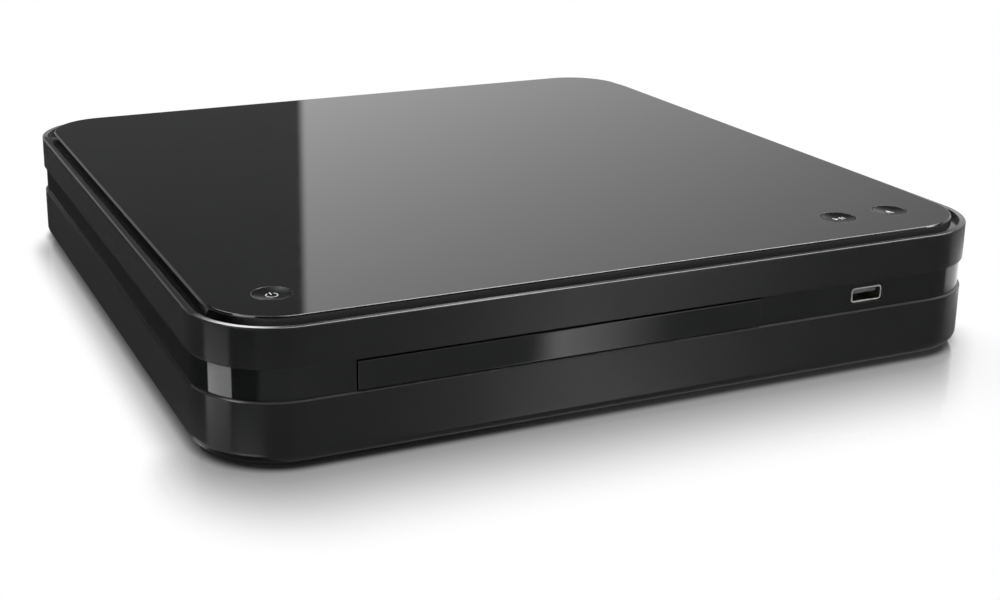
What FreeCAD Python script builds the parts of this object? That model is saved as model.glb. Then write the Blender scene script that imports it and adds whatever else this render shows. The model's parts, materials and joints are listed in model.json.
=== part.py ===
import FreeCAD, Part
import Sketcher
import math
import os
import re

# Compact disc receiver: a low square case with a front loading disc tray.
# Millimetres, +Z up, front towards -Y, origin on the surface it stands on, under the middle of the case.

DIMENSIONS = {
    "Case": {
        "case_width": 300, "case_depth": 300, "corner_radius": 30, "floor_gap": 1.5,
        "lower_height": 21.3, "band_height": 10.7, "upper_height": 13.7,
        "case_wall": 2.2, "floor_thickness": 2.2, "bottom_round": 4.0, "edge_break": 0.4,
        "band_recess": 1.0, "tongue_height": 2.2, "tongue_thickness": 1.2, "fit_gap": 0.1,
        "channel_depth": 1.5, "lip_width": 2.3, "lip_round": 0.35, "deck_thickness": 2.2,
        "plate_inset": 5.2, "plate_proud": 1.9, "plate_edge": 0.5,
        "foot_diameter": 16, "foot_inset": 36, "foot_sink": 0.8,
        "vent_length": 34, "vent_width": 2.4, "vent_pitch": 6, "vent_count": 9, "power_vent_count": 4,
        "vent_side": 70, "vent_front": 22, "power_vent_side": 24, "power_vent_front": 70,
    },
    "Fasteners": {
        "post_diameter": 9, "post_inset": 12, "post_front": 62, "post_rear": 45, "post_height": 21.7,
        "boss_diameter": 7, "screw_hole": 3.4, "screw_pilot": 2.6, "screw_thread": 2.4,
        "screw_head": 5.4, "head_height": 2.0, "head_pocket": 6.4, "head_depth": 6.0,
        "case_screw_length": 23.5, "short_screw_length": 5.5, "loader_screw_length": 4.8, "pilot_depth": 8.0,
    },
    "Buttons": {
        "power_from_left": 28.2, "play_from_right": 52.2, "open_from_right": 28.8,
        "button_from_front": 27.4, "button_diameter": 12.4, "button_gap": 0.3,
        "button_dish": 0.7, "dish_radius": 26, "button_flange": 15, "flange_thickness": 1.2,
        "button_slack": 0.3, "button_travel": 0.8, "stem_diameter": 3.5, "stem_reach": 2.1,
        "stem_depth": 1.3, "switch_width": 6.2, "switch_height": 2.6, "run_gap": 0.05,
        "board_thickness": 1.6, "key_board_margin": 13, "key_screw_offset": 9,
    },
    "Tray": {
        "door_from_left": 46.8, "opening_width": 149.8, "door_gap": 0.35, "door_thickness": 3.0,
        "door_proud": 0.8, "tray_inset": 4.9, "tray_lift": 3.2, "tray_height": 6.0, "tray_floor": 1.6,
        "tray_side_gap": 0.5, "disc_front_rim": 15.5, "disc_rim": 9.5, "small_rim": 20,
        "small_depth": 0.6, "tray_back_rim": 27, "slot_width": 44, "slot_front": 22, "slot_rim": 5.5,
        "slot_corner": 8, "gate_width": 60,
    },
    "Loader": {
        "loader_front_gap": 5.5, "loader_back_gap": 4.5, "loader_wall": 2.6, "loader_lift": 2.3,
        "loader_floor": 2.0, "wall_over_tray": 2.2, "ledge_width": 3.0, "ledge_height": 1.8,
        "slide_gap": 0.2, "hook_length": 14, "hook_height": 1.5, "tab_length": 10, "tab_width": 12,
        "tab_inset": 36, "bridge_width": 28, "bridge_thickness": 1.2, "bridge_fold": 1.8,
        "clamp_hole": 25, "clamp_hub": 24, "clamp_flange": 31, "clamp_flange_height": 1.5,
        "clamp_over_disc": 0.6, "clamp_recess": 16, "clamp_recess_depth": 2.0, "disc_thickness": 1.2,
    },
    "Gears": {
        "rack_module": 1.0, "pinion_teeth": 16, "wheel_module": 0.8, "wheel_teeth": 42,
        "small_teeth": 14, "backlash": 0.25, "tooth_tip": 0.8, "tooth_root": 1.05, "pressure_angle": 20,
        "rack_from_left": 12.3, "rack_back": 3.0, "rack_height": 2.8, "pinion_from_front": 22,
        "gear_post": 8, "gear_post_height": 4.2, "gear_pin": 3.0, "gear_lift": 0.2, "wheel_height": 3.0,
        "pinion_top_gap": 0.6, "pulley_lift": 1.0, "pulley_height": 3.6, "pulley_groove": 21,
        "pulley_rim": 23, "groove_height": 1.6, "belt_size": 1.2, "belt_gap": 0.1, "belt_span": 34,
        "motor_diameter": 24.4, "motor_height": 12.2, "motor_floor_gap": 0.5, "motor_flange": 33,
        "motor_flange_thickness": 1.0, "motor_hole_gap": 0.5, "motor_groove": 5.0, "motor_rim": 7.4,
        "motor_shaft": 2.0, "motor_shaft_gap": 0.2,
    },
    "Lift": {
        "lift_angle": 4.4, "pivot_rim": 13.5, "lift_front_rim": 30.5, "lift_behind_pivot": 5,
        "lift_clear": 18,
        "lift_bar": 6, "lift_side_bar": 7, "lift_thickness": 2.4, "pivot_pin": 4.0, "pivot_pin_length": 4.0,
        "pivot_lug": 3.6, "pivot_lug_depth": 8, "traverse_drop": 2.6, "traverse_thickness": 1.2,
        "traverse_margin": 2, "grommet_diameter": 7, "grommet_neck": 4.6, "grommet_bore": 2.6,
        "grommet_height": 1.0, "grommet_top": 0.8, "grommet_inset": 5,
        "cam_pin": 2.4, "cam_pin_length": 4.2, "cam_gap": 0.25, "cam_stroke": 16, "cam_thickness": 2.0,
        "cam_length": 44, "cam_groove": 1.0, "cam_clearance": 1.6, "cam_height": 16.4, "cam_lift_gap": 0.1,
    },
    "Pickup": {
        "spindle_diameter": 22, "spindle_height": 6.0, "disc_lift": 1.0, "turntable_diameter": 30,
        "turntable_gap": 0.4, "hub_diameter": 14.8, "hub_top": 8, "hub_height": 1.5, "spindle_shaft": 3,
        "shaft_hole": 8, "rod_clear": 10, "rod_diameter": 3, "rod_drop": 3.2, "rod_front": 13,
        "rod_back_gap": 4, "holder_length": 4, "holder_width": 6, "holder_below": 3,
        "pickup_inner": 24, "pickup_rod_gap": 5, "pickup_length": 20,
        "pickup_height": 7, "pickup_top_drop": 0.2, "ear_length": 12, "window_gap": 2,
        "window_front": 12.5, "window_back_gap": 4, "lens_mount": 14, "lens_mount_height": 2.2,
        "lens_diameter": 6, "lens_height": 0.6, "lens_crown": 0.5,
        "lead_clear": 8, "lead_screw": 3, "lead_drop": 4.6, "sled_diameter": 9, "sled_length": 12,
        "sled_gap": 0.3,
    },
    "Electronics": {
        "usb_from_right": 58.2, "usb_level": 5.7, "usb_width": 13.1, "usb_height": 5.4, "usb_depth": 14,
        "usb_wall": 0.4, "usb_sink": 0.1, "usb_gap": 0.4, "usb_board_half": 15, "usb_board_gap": 4.2,
        "usb_board_length": 31, "usb_screw_side": 10, "usb_tongue_width": 11.1, "usb_tongue_height": 1.9,
        "sensor_side": 11, "sensor_width": 6.5, "sensor_depth": 4.6, "sensor_height": 6.6, "sensor_lens": 4,
        "board_standoff": 5.3, "main_left": 19, "board_gap": 4, "loader_clear": 8, "main_back_gap": 13,
        "board_screw_inset": 6, "screw_to_sockets": 24.2,
        "power_right": 19, "power_width": 41, "power_length": 197,
        "sink_width": 34, "sink_base": 2.0, "sink_fin": 1.4, "sink_fins": 7,
        "sink_height": 11, "sink_side": 130, "sink_front": 24, "chip_width": 26, "chip_height": 2.4,
        "transformer_width": 30, "transformer_depth": 28, "transformer_height": 23, "transformer_back": 78,
        "capacitor_diameter": 13, "capacitor_height": 22, "capacitor_pitch": 16, "capacitor_back": 112,
        "cable_width": 20, "cable_thickness": 0.4, "cable_side": 42, "cable_overlap": 9, "cable_rise": 4,
        "cable_bend": 2,
    },
    "Rear": {
        "bay_margin": 35, "bay_bottom": 6.5, "bay_top_gap": 3.2, "bay_depth": 9.5, "panel_thickness": 1.2,
        "panel_overlap": 3.0, "panel_hole_gap": 0.4, "panel_lug_side": 70, "panel_lug_width": 10,
        "panel_lug_depth": 8, "panel_lug_drop": 11.3, "panel_screw_drop": 7,
        "socket_out": 8.0, "mains_from_end": 15, "mains_width": 22, "mains_height": 15, "mains_depth": 20,
        "mains_lobe": 8.6, "mains_spacing": 8.6, "mains_pin": 2.4, "mains_cavity": 12, "mains_out": 2.5,
        "scart_width": 47, "scart_height": 15.5, "scart_depth": 22, "scart_out": 3.0,
        "scart_inner_width": 42.5,
        "scart_inner_height": 10.4, "scart_block_width": 39.5, "scart_block_height": 7.4, "scart_cavity": 9,
        "scart_pitch": 50, "tv_from_end": 59, "audio_from_end": 59, "audio_pitch": 14, "audio_level": 7.4,
        "audio_barrel": 8.3, "audio_bore": 3.2, "audio_block_height": 13, "audio_block_depth": 11,
        "digital_from_end": 41, "digital_width": 15, "digital_height": 5.8, "digital_depth": 12,
        "digital_out": 1.0, "digital_wall": 0.6, "digital_tongue_width": 11.6, "digital_tongue": 1.3,
        "antenna_from_end": 23, "antenna_pitch": 15, "antenna_level": 8.4, "antenna_socket": 12,
        "antenna_bore": 9.5, "antenna_contact": 3.6, "antenna_pin_hole": 2.4, "antenna_plug": 9.5,
        "antenna_plug_bore": 8, "antenna_pin": 2.4, "tuner_width": 34, "tuner_depth": 34, "tuner_height": 16,
    },
}
SIZES = {name for group in DIMENSIONS.values() for name in group}

# Levels, faces and centres that follow from the sizes above.
DERIVED = {
    "case_left": "-case_width/2", "case_right": "case_width/2",
    "case_front": "-case_depth/2", "case_back": "case_depth/2",
    "inside_floor": "floor_gap + floor_thickness", "lower_top": "floor_gap + lower_height",
    "band_top": "lower_top + band_height", "rim_top": "band_top + upper_height",
    "deck_top": "rim_top - channel_depth", "deck_under": "deck_top - deck_thickness",
    "plate_top": "rim_top + plate_proud",
    "tongue_inset": "case_wall + fit_gap", "band_inset": "tongue_inset + tongue_thickness",
    "post_joint": "inside_floor + post_height", "post_x": "case_width/2 - post_inset",
    "post_front_y": "case_front + post_front", "post_rear_y": "case_back - post_rear",
    "foot_x": "case_width/2 - foot_inset", "foot_y": "case_depth/2 - foot_inset",
    "head_seat": "floor_gap + head_depth",
    "power_x": "case_left + power_from_left", "play_x": "case_right - play_from_right",
    "open_x": "case_right - open_from_right", "button_y": "case_front + button_from_front",
    "flange_top": "deck_under - button_slack", "flange_under": "flange_top - flange_thickness",
    "switch_top": "flange_under - stem_reach", "key_board_top": "switch_top - switch_height",
    "key_board_under": "key_board_top - board_thickness",
    "opening_left": "case_left + door_from_left", "loader_x": "opening_left + opening_width/2",
    "band_front": "case_front + band_recess", "door_front": "band_front - door_proud",
    "door_back": "door_front + door_thickness",
    "tray_bottom": "lower_top + tray_lift", "tray_top": "tray_bottom + tray_height",
    "tray_floor_top": "tray_bottom + tray_floor", "tray_width": "opening_width - 2*tray_inset",
    "tray_left": "loader_x - tray_width/2",
    "disc_recess": "tray_width - 2*disc_rim", "small_recess": "disc_recess - 2*small_rim",
    "disc_y": "case_front + disc_front_rim + disc_recess/2",
    "tray_back": "disc_y + disc_recess/2 + tray_back_rim",
    "loader_front": "case_front + loader_front_gap", "loader_back": "tray_back + loader_back_gap",
    "loader_base": "inside_floor + loader_lift", "loader_top": "loader_base + loader_floor",
    "loader_inner": "tray_width/2 + tray_side_gap", "loader_outer": "loader_inner + loader_wall",
    "wall_top": "tray_top + wall_over_tray", "tab_x": "loader_outer + tab_length/2",
    "tab_front_y": "loader_front + tab_inset", "tab_back_y": "loader_back - tab_inset",
    "rack_x": "tray_left + rack_from_left", "pinion_x": "rack_x + rack_module*pinion_teeth/2",
    "pinion_y": "case_front + pinion_from_front",
    "pulley_x": "pinion_x + wheel_module*(wheel_teeth + small_teeth)/2",
    "motor_x": "pulley_x + belt_span", "gear_seat": "loader_top + gear_post_height",
    "wheel_bottom": "gear_seat + gear_lift", "wheel_top": "wheel_bottom + wheel_height",
    "pinion_top": "tray_bottom - pinion_top_gap", "rack_bottom": "tray_bottom - rack_height",
    "pulley_bottom": "wheel_top + pulley_lift", "pulley_top": "pulley_bottom + pulley_height",
    "belt_level": "(pulley_bottom + pulley_top)/2",
    "motor_bottom": "inside_floor + motor_floor_gap", "motor_top": "motor_bottom + motor_height",
    "traverse_under": "tray_bottom - traverse_drop", "traverse_top": "traverse_under + traverse_thickness",
    "lift_width": "tray_width - 2*lift_clear", "lift_top": "traverse_under - grommet_height",
    "lift_under": "lift_top - lift_thickness",
    "pivot_z": "(lift_top + lift_under)/2", "pivot_behind": "disc_recess/2 + pivot_rim",
    "pivot_y": "disc_y + pivot_behind",
    "lift_front": "case_front + disc_front_rim + lift_front_rim", "lift_back": "pivot_y + lift_behind_pivot",
    "cam_pin_y": "lift_front - cam_clearance", "cam_back": "lift_front - cam_clearance",
    "cam_front": "cam_back - cam_thickness", "cam_bottom": "loader_top - cam_groove + cam_lift_gap",
    "cam_pin_rest_z": "pivot_z + (cam_mid_y - pivot_y)*sin(lift_angle)",
    "cam_mid_y": "(cam_front + cam_back)/2", "grommet_x": "lift_width/2 - grommet_inset",
    "grommet_front_y": "lift_front + lift_bar/2", "grommet_back_y": "lift_back - lift_bar/2",
    "screw_side": "lift_width/2 - lift_side_bar - lead_clear", "rod_spacing": "2*(screw_side - rod_clear)",
    "pickup_width": "rod_spacing - 2*pickup_rod_gap", "window_width": "pickup_width + 2*window_gap",
    "slot_back": "disc_recess/2 + slot_rim", "rod_back": "pivot_behind - rod_back_gap",
    "window_back": "pivot_behind - window_back_gap",
    "disc_seat": "tray_floor_top + disc_lift", "rod_z": "traverse_under - rod_drop",
    "lead_z": "traverse_under - lead_drop", "pickup_y": "disc_y + pickup_inner",
    "pickup_top": "traverse_under - pickup_top_drop", "pickup_under": "pickup_top - pickup_height",
    "lens_base": "pickup_top + lens_mount_height",
    "clamp_bottom": "disc_seat + disc_thickness + clamp_over_disc",
    "bridge_top": "wall_top + bridge_thickness", "clamp_seat": "bridge_top + slide_gap",
    "usb_x": "case_right - usb_from_right", "usb_z": "lower_top + usb_level",
    "usb_bottom": "usb_z - usb_height/2", "usb_top": "usb_z + usb_height/2",
    "usb_front": "band_front + usb_sink", "usb_board_front": "case_front + usb_board_gap",
    "usb_board_back": "usb_board_front + usb_board_length", "usb_screw_y": "usb_board_back - 4",
    "board_under": "inside_floor + board_standoff", "board_top": "board_under + board_thickness",
    "main_x": "case_left + main_left", "main_right": "power_x_left - board_gap",
    "main_y": "loader_back + loader_clear", "main_back": "case_back - main_back_gap",
    "sockets_back": "panel_face + scart_out - scart_depth",
    "board_screw_y": "sockets_back - screw_to_sockets",
    "power_edge": "case_right - power_right", "power_x_left": "power_edge - power_width",
    "power_y": "main_back - power_length", "power_mid": "power_edge - power_width/2",
    "panel_rim": "case_back - case_wall - fit_gap", "panel_face": "panel_rim - bay_depth",
    "panel_back": "panel_face - panel_thickness", "bay_low": "floor_gap + bay_bottom",
    "bay_high": "deck_under - bay_top_gap", "panel_screw_z": "deck_under - panel_screw_drop",
    "bay_width": "case_width - 2*bay_margin", "bay_left": "-bay_width/2", "bay_right": "bay_width/2",
    "mains_x": "bay_right - mains_from_end", "mains_z": "board_top + mains_height/2",
    "tv_x": "bay_right - tv_from_end", "scart_z": "board_top + scart_height/2",
    "audio_x": "bay_left + audio_from_end", "audio_z": "board_top + audio_level",
    "digital_x": "bay_left + digital_from_end", "digital_z": "board_top + digital_height/2",
    "antenna_x": "bay_left + antenna_from_end", "antenna_z": "board_top + antenna_level",
    "tuner_x": "antenna_x - antenna_pitch/2", "sink_x": "main_x + sink_side",
    "sink_y": "main_y + sink_front",
    "sink_pitch": "(sink_width - sink_fin)/(sink_fins - 1)",
    "transformer_y": "case_back - transformer_back", "capacitor_y": "case_back - capacitor_back",
}

doc = FreeCAD.newDocument("disc_receiver")
sheet = doc.addObject("Spreadsheet::Sheet", "dims")
row = 1
for group_name, group_sizes in DIMENSIONS.items():
    sheet.set(f"A{row}", group_name)
    row += 1
    for size_name, number in group_sizes.items():
        sheet.set(f"A{row}", size_name)
        sheet.set(f"B{row}", str(number))
        sheet.setAlias(f"B{row}", size_name)
        row += 1
doc.recompute()

WORD = re.compile(r"[a-z][a-z0-9_]*")
NODES = []
Vector = FreeCAD.Vector


def formula(text):
    """Spell a formula out in sheet cells; a derived name becomes its own formula in brackets."""
    def spell(match):
        word = match.group(0)
        if word in DERIVED:
            return "(" + formula(DERIVED[word]) + ")"
        return "dims." + word if word in SIZES else word
    return WORD.sub(spell, str(text))


def size(text):
    """The number a formula gives with the sizes now in the sheet."""
    return float(sheet.evalExpression(formula(text)))


def bind(item, name, text):
    """Drive one property of an object by a formula."""
    item.setExpression(name, formula(text))


def about(middle, width):
    """The span of a width set about a middle."""
    return (f"({middle}) - ({width})/2", f"({middle}) + ({width})/2")


def grown(span, margin):
    """A span made longer by a margin at both ends."""
    return (f"({span[0]}) - ({margin})", f"({span[1]}) + ({margin})")


def drive(sketch, constraint, text):
    """Add a constraint to a sketch and let a formula set its size."""
    index = sketch.addConstraint(constraint)
    sketch.renameConstraint(index, f"size_{index}")
    sketch.setExpression(f"Constraints.size_{index}", formula(text))


def locate(sketch, item, point, x, y):
    """Fix a point of a sketch at two coordinates."""
    drive(sketch, Sketcher.Constraint("DistanceX", -1, 1, item, point, size(x)), x)
    drive(sketch, Sketcher.Constraint("DistanceY", -1, 1, item, point, size(y)), y)


def outline(corners):
    """A closed outline of straight lines through corners given as formulas."""
    def draw(sketch):
        points = [Vector(size(x), size(y), 0) for x, y in corners]
        first = sketch.GeometryCount
        count = len(points)
        for index in range(count):
            sketch.addGeometry(Part.LineSegment(points[index], points[(index + 1) % count]), False)
        for index in range(count):
            following = first + (index + 1) % count
            sketch.addConstraint(Sketcher.Constraint("Coincident", first + index, 2, following, 1))
        for index, (x, y) in enumerate(corners):
            locate(sketch, first + index, 1, x, y)
    return draw


def rect(x, y):
    """A rectangle over two spans."""
    return outline([(x[0], y[0]), (x[1], y[0]), (x[1], y[1]), (x[0], y[1])])


def rounded(x, y, radius):
    """A rectangle over two spans with its four corners rounded."""
    def draw(sketch):
        reach = size(radius)
        low, high = [size(x[0]), size(y[0])], [size(x[1]), size(y[1])]
        turns = [(high[0], high[1], x[1], y[1], -1, -1), (low[0], high[1], x[0], y[1], 1, -1),
                 (low[0], low[1], x[0], y[0], 1, 1), (high[0], low[1], x[1], y[0], -1, 1)]
        first = sketch.GeometryCount
        for index, (px, py, fx, fy, sx, sy) in enumerate(turns):
            middle = Vector(px + sx * reach, py + sy * reach, 0)
            circle = Part.Circle(middle, Vector(0, 0, 1), reach)
            start = index * math.pi / 2
            sketch.addGeometry(Part.ArcOfCircle(circle, start, start + math.pi / 2), False)
        for index in range(4):
            following = first + (index + 1) % 4
            begin = sketch.getPoint(first + index, 2)
            finish = sketch.getPoint(following, 1)
            line = sketch.addGeometry(Part.LineSegment(begin, finish), False)
            sketch.addConstraint(Sketcher.Constraint("Coincident", first + index, 2, line, 1))
            sketch.addConstraint(Sketcher.Constraint("Coincident", line, 2, following, 1))
        for index, (px, py, fx, fy, sx, sy) in enumerate(turns):
            arc = first + index
            along, across = ("Horizontal", "Vertical") if index % 2 == 0 else ("Vertical", "Horizontal")
            sketch.addConstraint(Sketcher.Constraint(along, arc, 3, arc, 1))
            sketch.addConstraint(Sketcher.Constraint(across, arc, 3, arc, 2))
            drive(sketch, Sketcher.Constraint("Radius", arc, reach), radius)
            locate(sketch, arc, 3, f"({fx}) + ({sx})*({radius})", f"({fy}) + ({sy})*({radius})")
    return draw


def circle(x, y, diameter):
    """A full circle about a point."""
    def draw(sketch):
        middle = Vector(size(x), size(y), 0)
        index = sketch.addGeometry(Part.Circle(middle, Vector(0, 0, 1), size(diameter) / 2), False)
        locate(sketch, index, 3, x, y)
        drive(sketch, Sketcher.Constraint("Diameter", index, size(diameter)), diameter)
    return draw


def new_body(label):
    """An empty body."""
    return doc.addObject("PartDesign::Body", label)


def sketch_on(body, role, level, shapes):
    """A sketch on one of a body's own planes, moved out to a level, holding the shapes."""
    sketch = body.newObject("Sketcher::SketchObject", body.Name + "_sketch")
    plane = next(item for item in body.Origin.OriginFeatures if item.Role == role)
    sketch.AttachmentSupport = [(plane, "")]
    sketch.MapMode = "FlatFace"
    bind(sketch, "AttachmentOffset.Base.z", level)
    for draw in shapes:
        draw(sketch)
    return sketch


def add(body, z, *shapes):
    """Pad flat shapes over a span of height."""
    feature = body.newObject("PartDesign::Pad", body.Name + "_pad")
    feature.Profile = sketch_on(body, "XY_Plane", z[0], shapes)
    bind(feature, "Length", f"({z[1]}) - ({z[0]})")
    return feature


def remove(body, z, *shapes):
    """Pocket flat shapes down over a span of height."""
    feature = body.newObject("PartDesign::Pocket", body.Name + "_pocket")
    feature.Profile = sketch_on(body, "XY_Plane", z[1], shapes)
    bind(feature, "Length", f"({z[1]}) - ({z[0]})")
    return feature


def edges_at(feature, level, spans=None):
    """Names of the edges that lie flat at a level, inside two spans if they are given."""
    doc.recompute()
    names = []
    height = size(level)
    for index, edge in enumerate(feature.Shape.Edges):
        box = edge.BoundBox
        flat = abs(box.ZMin - height) < 1e-4 and abs(box.ZMax - height) < 1e-4
        inside = spans is None or (size(spans[0][0]) <= box.XMin and box.XMax <= size(spans[0][1])
                                   and size(spans[1][0]) <= box.YMin and box.YMax <= size(spans[1][1]))
        if flat and inside:
            names.append(f"Edge{index + 1}")
    return names


def soften(body, kind, names, amount):
    """Fillet or chamfer named edges of the body's last feature."""
    base = body.Tip
    feature = body.newObject("PartDesign::" + kind, body.Name + "_edge")
    feature.Base = (base, names)
    bind(feature, "Radius" if kind == "Fillet" else "Size", amount)
    doc.recompute()
    return feature


def turned(label, x, y, profile):
    """A body turned about an upright axis from a profile of radius and height pairs."""
    body = new_body(label)
    feature = body.newObject("PartDesign::Revolution", label + "_turned")
    sketch = sketch_on(body, "XZ_Plane", "0", [outline(profile)])
    feature.Profile = sketch
    feature.ReferenceAxis = (sketch, ["V_Axis"])
    feature.Angle = 360
    bind(body, "Placement.Base.x", x)
    bind(body, "Placement.Base.y", y)
    return body


def block(x, y, z):
    """A box over three spans."""
    item = doc.addObject("Part::Box", "block")
    for name, axis, span in (("Length", "x", x), ("Width", "y", y), ("Height", "z", z)):
        bind(item, name, f"({span[1]}) - ({span[0]})")
        bind(item, "Placement.Base." + axis, span[0])
    return item


def rod(axis, middle, span, diameter):
    """A cylinder along an axis; the middle gives its other two coordinates in X, Y, Z order."""
    item = doc.addObject("Part::Cylinder", "rod")
    bind(item, "Radius", f"({diameter})/2")
    bind(item, "Height", f"({span[1]}) - ({span[0]})")
    turn = {"x": (Vector(0, 1, 0), 90), "y": (Vector(1, 0, 0), -90), "z": (Vector(0, 0, 1), 0)}[axis]
    item.Placement = FreeCAD.Placement(Vector(0, 0, 0), FreeCAD.Rotation(*turn))
    places = list(middle)
    places.insert("xyz".index(axis), span[0])
    for letter, place in zip("xyz", places):
        bind(item, "Placement.Base." + letter, place)
    return item


def fuse(*items):
    """One solid made of several."""
    if len(items) == 1:
        return items[0]
    result = doc.addObject("Part::MultiFuse", "joined")
    result.Shapes = list(items)
    result.Refine = True
    return result


def cut(base, *tools):
    """A solid with others taken out of it."""
    result = doc.addObject("Part::Cut", "cut")
    result.Base = base
    result.Tool = fuse(*tools)
    result.Refine = True
    return result


def group(*items):
    """Separate solids kept together."""
    result = doc.addObject("Part::Compound", "group")
    result.Links = list(items)
    return result


def made(shape, name):
    """A feature that holds a shape worked out by code."""
    item = doc.addObject("Part::Feature", name)
    item.Shape = shape
    item.Placement = FreeCAD.Placement()
    return item


def node(label, item):
    """Name a finished sub-part and put it on the list to write."""
    item.Label = label
    NODES.append(item)
    return item


def lowered(label, item):
    """Name a sub-part of the lift and turn it down about the pivot to where it rests."""
    result = group(item)
    result.Placement = FreeCAD.Placement(Vector(0, 0, 0), FreeCAD.Rotation(Vector(1, 0, 0), 1))
    bind(result, "Placement.Rotation.Angle", "lift_angle")
    bind(result, "Placement.Base.y", "pivot_y - pivot_y*cos(lift_angle) + pivot_z*sin(lift_angle)")
    bind(result, "Placement.Base.z", "pivot_z - pivot_y*sin(lift_angle) - pivot_z*cos(lift_angle)")
    return node(label, result)


def screw(axis, middle, seat, length, towards):
    """A screw with a round head whose underside is at the seat; towards is the way the thread points."""
    tip = f"({seat}) + ({towards})*({length})"
    head = f"({seat}) - ({towards})*head_height"
    thread_span = (seat, tip) if towards > 0 else (tip, seat)
    head_span = (head, seat) if towards > 0 else (seat, head)
    return fuse(rod(axis, middle, head_span, "screw_head"), rod(axis, middle, thread_span, "screw_thread"))


def inset_case(body_margin):
    """The case outline drawn in by a margin."""
    return rounded(grown(about("0", "case_width"), f"-({body_margin})"),
                   grown(about("0", "case_depth"), f"-({body_margin})"), f"corner_radius - ({body_margin})")


# Lower casing: a tub with posts, bosses, vents, foot seats and a gap for the rear bay.
POSTS = [(sx + "post_x", y) for sx in ("", "-") for y in ("post_front_y", "post_rear_y")]
FEET = {"front_left": ("-foot_x", "-foot_y"), "front_right": ("foot_x", "-foot_y"),
        "rear_left": ("-foot_x", "foot_y"), "rear_right": ("foot_x", "foot_y")}
TABS = [(f"loader_x {sign} tab_x", y) for sign in "-+" for y in ("tab_front_y", "tab_back_y")]
MAIN_HOLES = [(x, y) for x in ("main_x + board_screw_inset", "main_right - board_screw_inset")
              for y in ("main_y + board_screw_inset", "board_screw_y")]
POWER_HOLES = [(x, y) for x in ("power_x_left + board_screw_inset", "power_edge - board_screw_inset")
               for y in ("power_y + board_screw_inset", "board_screw_y")]
USB_HOLES = [("usb_x - usb_screw_side", "usb_screw_y"), ("usb_x + usb_screw_side", "usb_screw_y")]
BAY_X = about("0", "bay_width")
BAY_Y = ("case_back - 2*case_wall - fit_gap", "case_back + 1")
usb_board_under = "usb_bottom - board_thickness"

tub = new_body("lower_tub")
shell = add(tub, ("floor_gap", "lower_top"), inset_case("0"))
soften(tub, "Fillet", edges_at(shell, "floor_gap"), "bottom_round")
soften(tub, "Chamfer", edges_at(tub.Tip, "lower_top"), "edge_break")
remove(tub, ("inside_floor", "lower_top"), inset_case("case_wall"))
remove(tub, ("bay_low", "lower_top + 1"), rect(BAY_X, BAY_Y))
add(tub, ("inside_floor", "post_joint"), *[circle(x, y, "post_diameter") for x, y in POSTS])
add(tub, ("inside_floor", "loader_base"), *[circle(x, y, "boss_diameter") for x, y in TABS])
add(tub, ("inside_floor", "board_under"), *[circle(x, y, "boss_diameter")
                                            for x, y in MAIN_HOLES + POWER_HOLES])
add(tub, ("inside_floor", usb_board_under), *[circle(x, y, "boss_diameter") for x, y in USB_HOLES])
remove(tub, ("floor_gap - 1", "post_joint"), *[circle(x, y, "screw_hole") for x, y in POSTS])
remove(tub, ("floor_gap - 1", "head_seat"), *[circle(x, y, "head_pocket") for x, y in POSTS])
remove(tub, ("floor_gap - 1", "floor_gap + foot_sink"),
       *[circle(x, y, "foot_diameter + 2*fit_gap") for x, y in FEET.values()])
pilot_floor = "inside_floor - floor_thickness/2"
remove(tub, (pilot_floor, "loader_base"), *[circle(x, y, "screw_pilot") for x, y in TABS])
remove(tub, (pilot_floor, "board_under"), *[circle(x, y, "screw_pilot")
                                            for x, y in MAIN_HOLES + POWER_HOLES])
remove(tub, (f"{usb_board_under} - pilot_depth", usb_board_under),
       *[circle(x, y, "screw_pilot") for x, y in USB_HOLES])
VENT_ROWS = (("main_x + vent_side", "main_y + vent_front", "vent_count"),
             ("power_mid - power_vent_side", "power_y + power_vent_front", "power_vent_count"))
for vent_x, vent_y, vent_number in VENT_ROWS:
    vent = remove(tub, ("floor_gap - 1", "inside_floor + 1"),
                  rect((vent_x, f"{vent_x} + vent_width"), (vent_y, f"{vent_y} + vent_length")))
    doc.recompute()
    row_of_vents = tub.newObject("PartDesign::LinearPattern", "vents")
    row_of_vents.Originals = [vent]
    row_of_vents.Direction = (next(f for f in tub.Origin.OriginFeatures if f.Role == "X_Axis"), [""])
    bind(row_of_vents, "Length", f"vent_pitch*({vent_number} - 1)")
    bind(row_of_vents, "Occurrences", vent_number)
    tub.Tip = row_of_vents
    doc.recompute()
node("bottom_cover", tub)

# Middle band: a recessed ring with tongues that plug into both casings; open at the tray and the rear bay.
band = new_body("band_ring")
add(band, ("lower_top", "band_top"), inset_case("band_recess"))
add(band, ("lower_top - tongue_height", "band_top + tongue_height"), inset_case("tongue_inset"))
remove(band, ("lower_top - tongue_height - 1", "band_top + tongue_height + 1"), inset_case("band_inset"))
remove(band, ("lower_top", "band_top + tongue_height + 1"),
       rect(("opening_left", "opening_left + opening_width"),
            ("case_front - 1", "case_front + band_inset + 1")))
remove(band, ("lower_top - tongue_height - 1", "band_top + tongue_height + 1"),
       rect(grown(BAY_X, "panel_overlap + fit_gap"), ("case_back - band_inset - 1", "case_back + 1")))
remove(band, ("usb_bottom - usb_gap", "usb_top + usb_gap"),
       rect(grown(about("usb_x", "usb_width"), "usb_gap"),
            ("case_front - 1", "case_front + band_inset + 1")))
node("middle_band", band)

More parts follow.
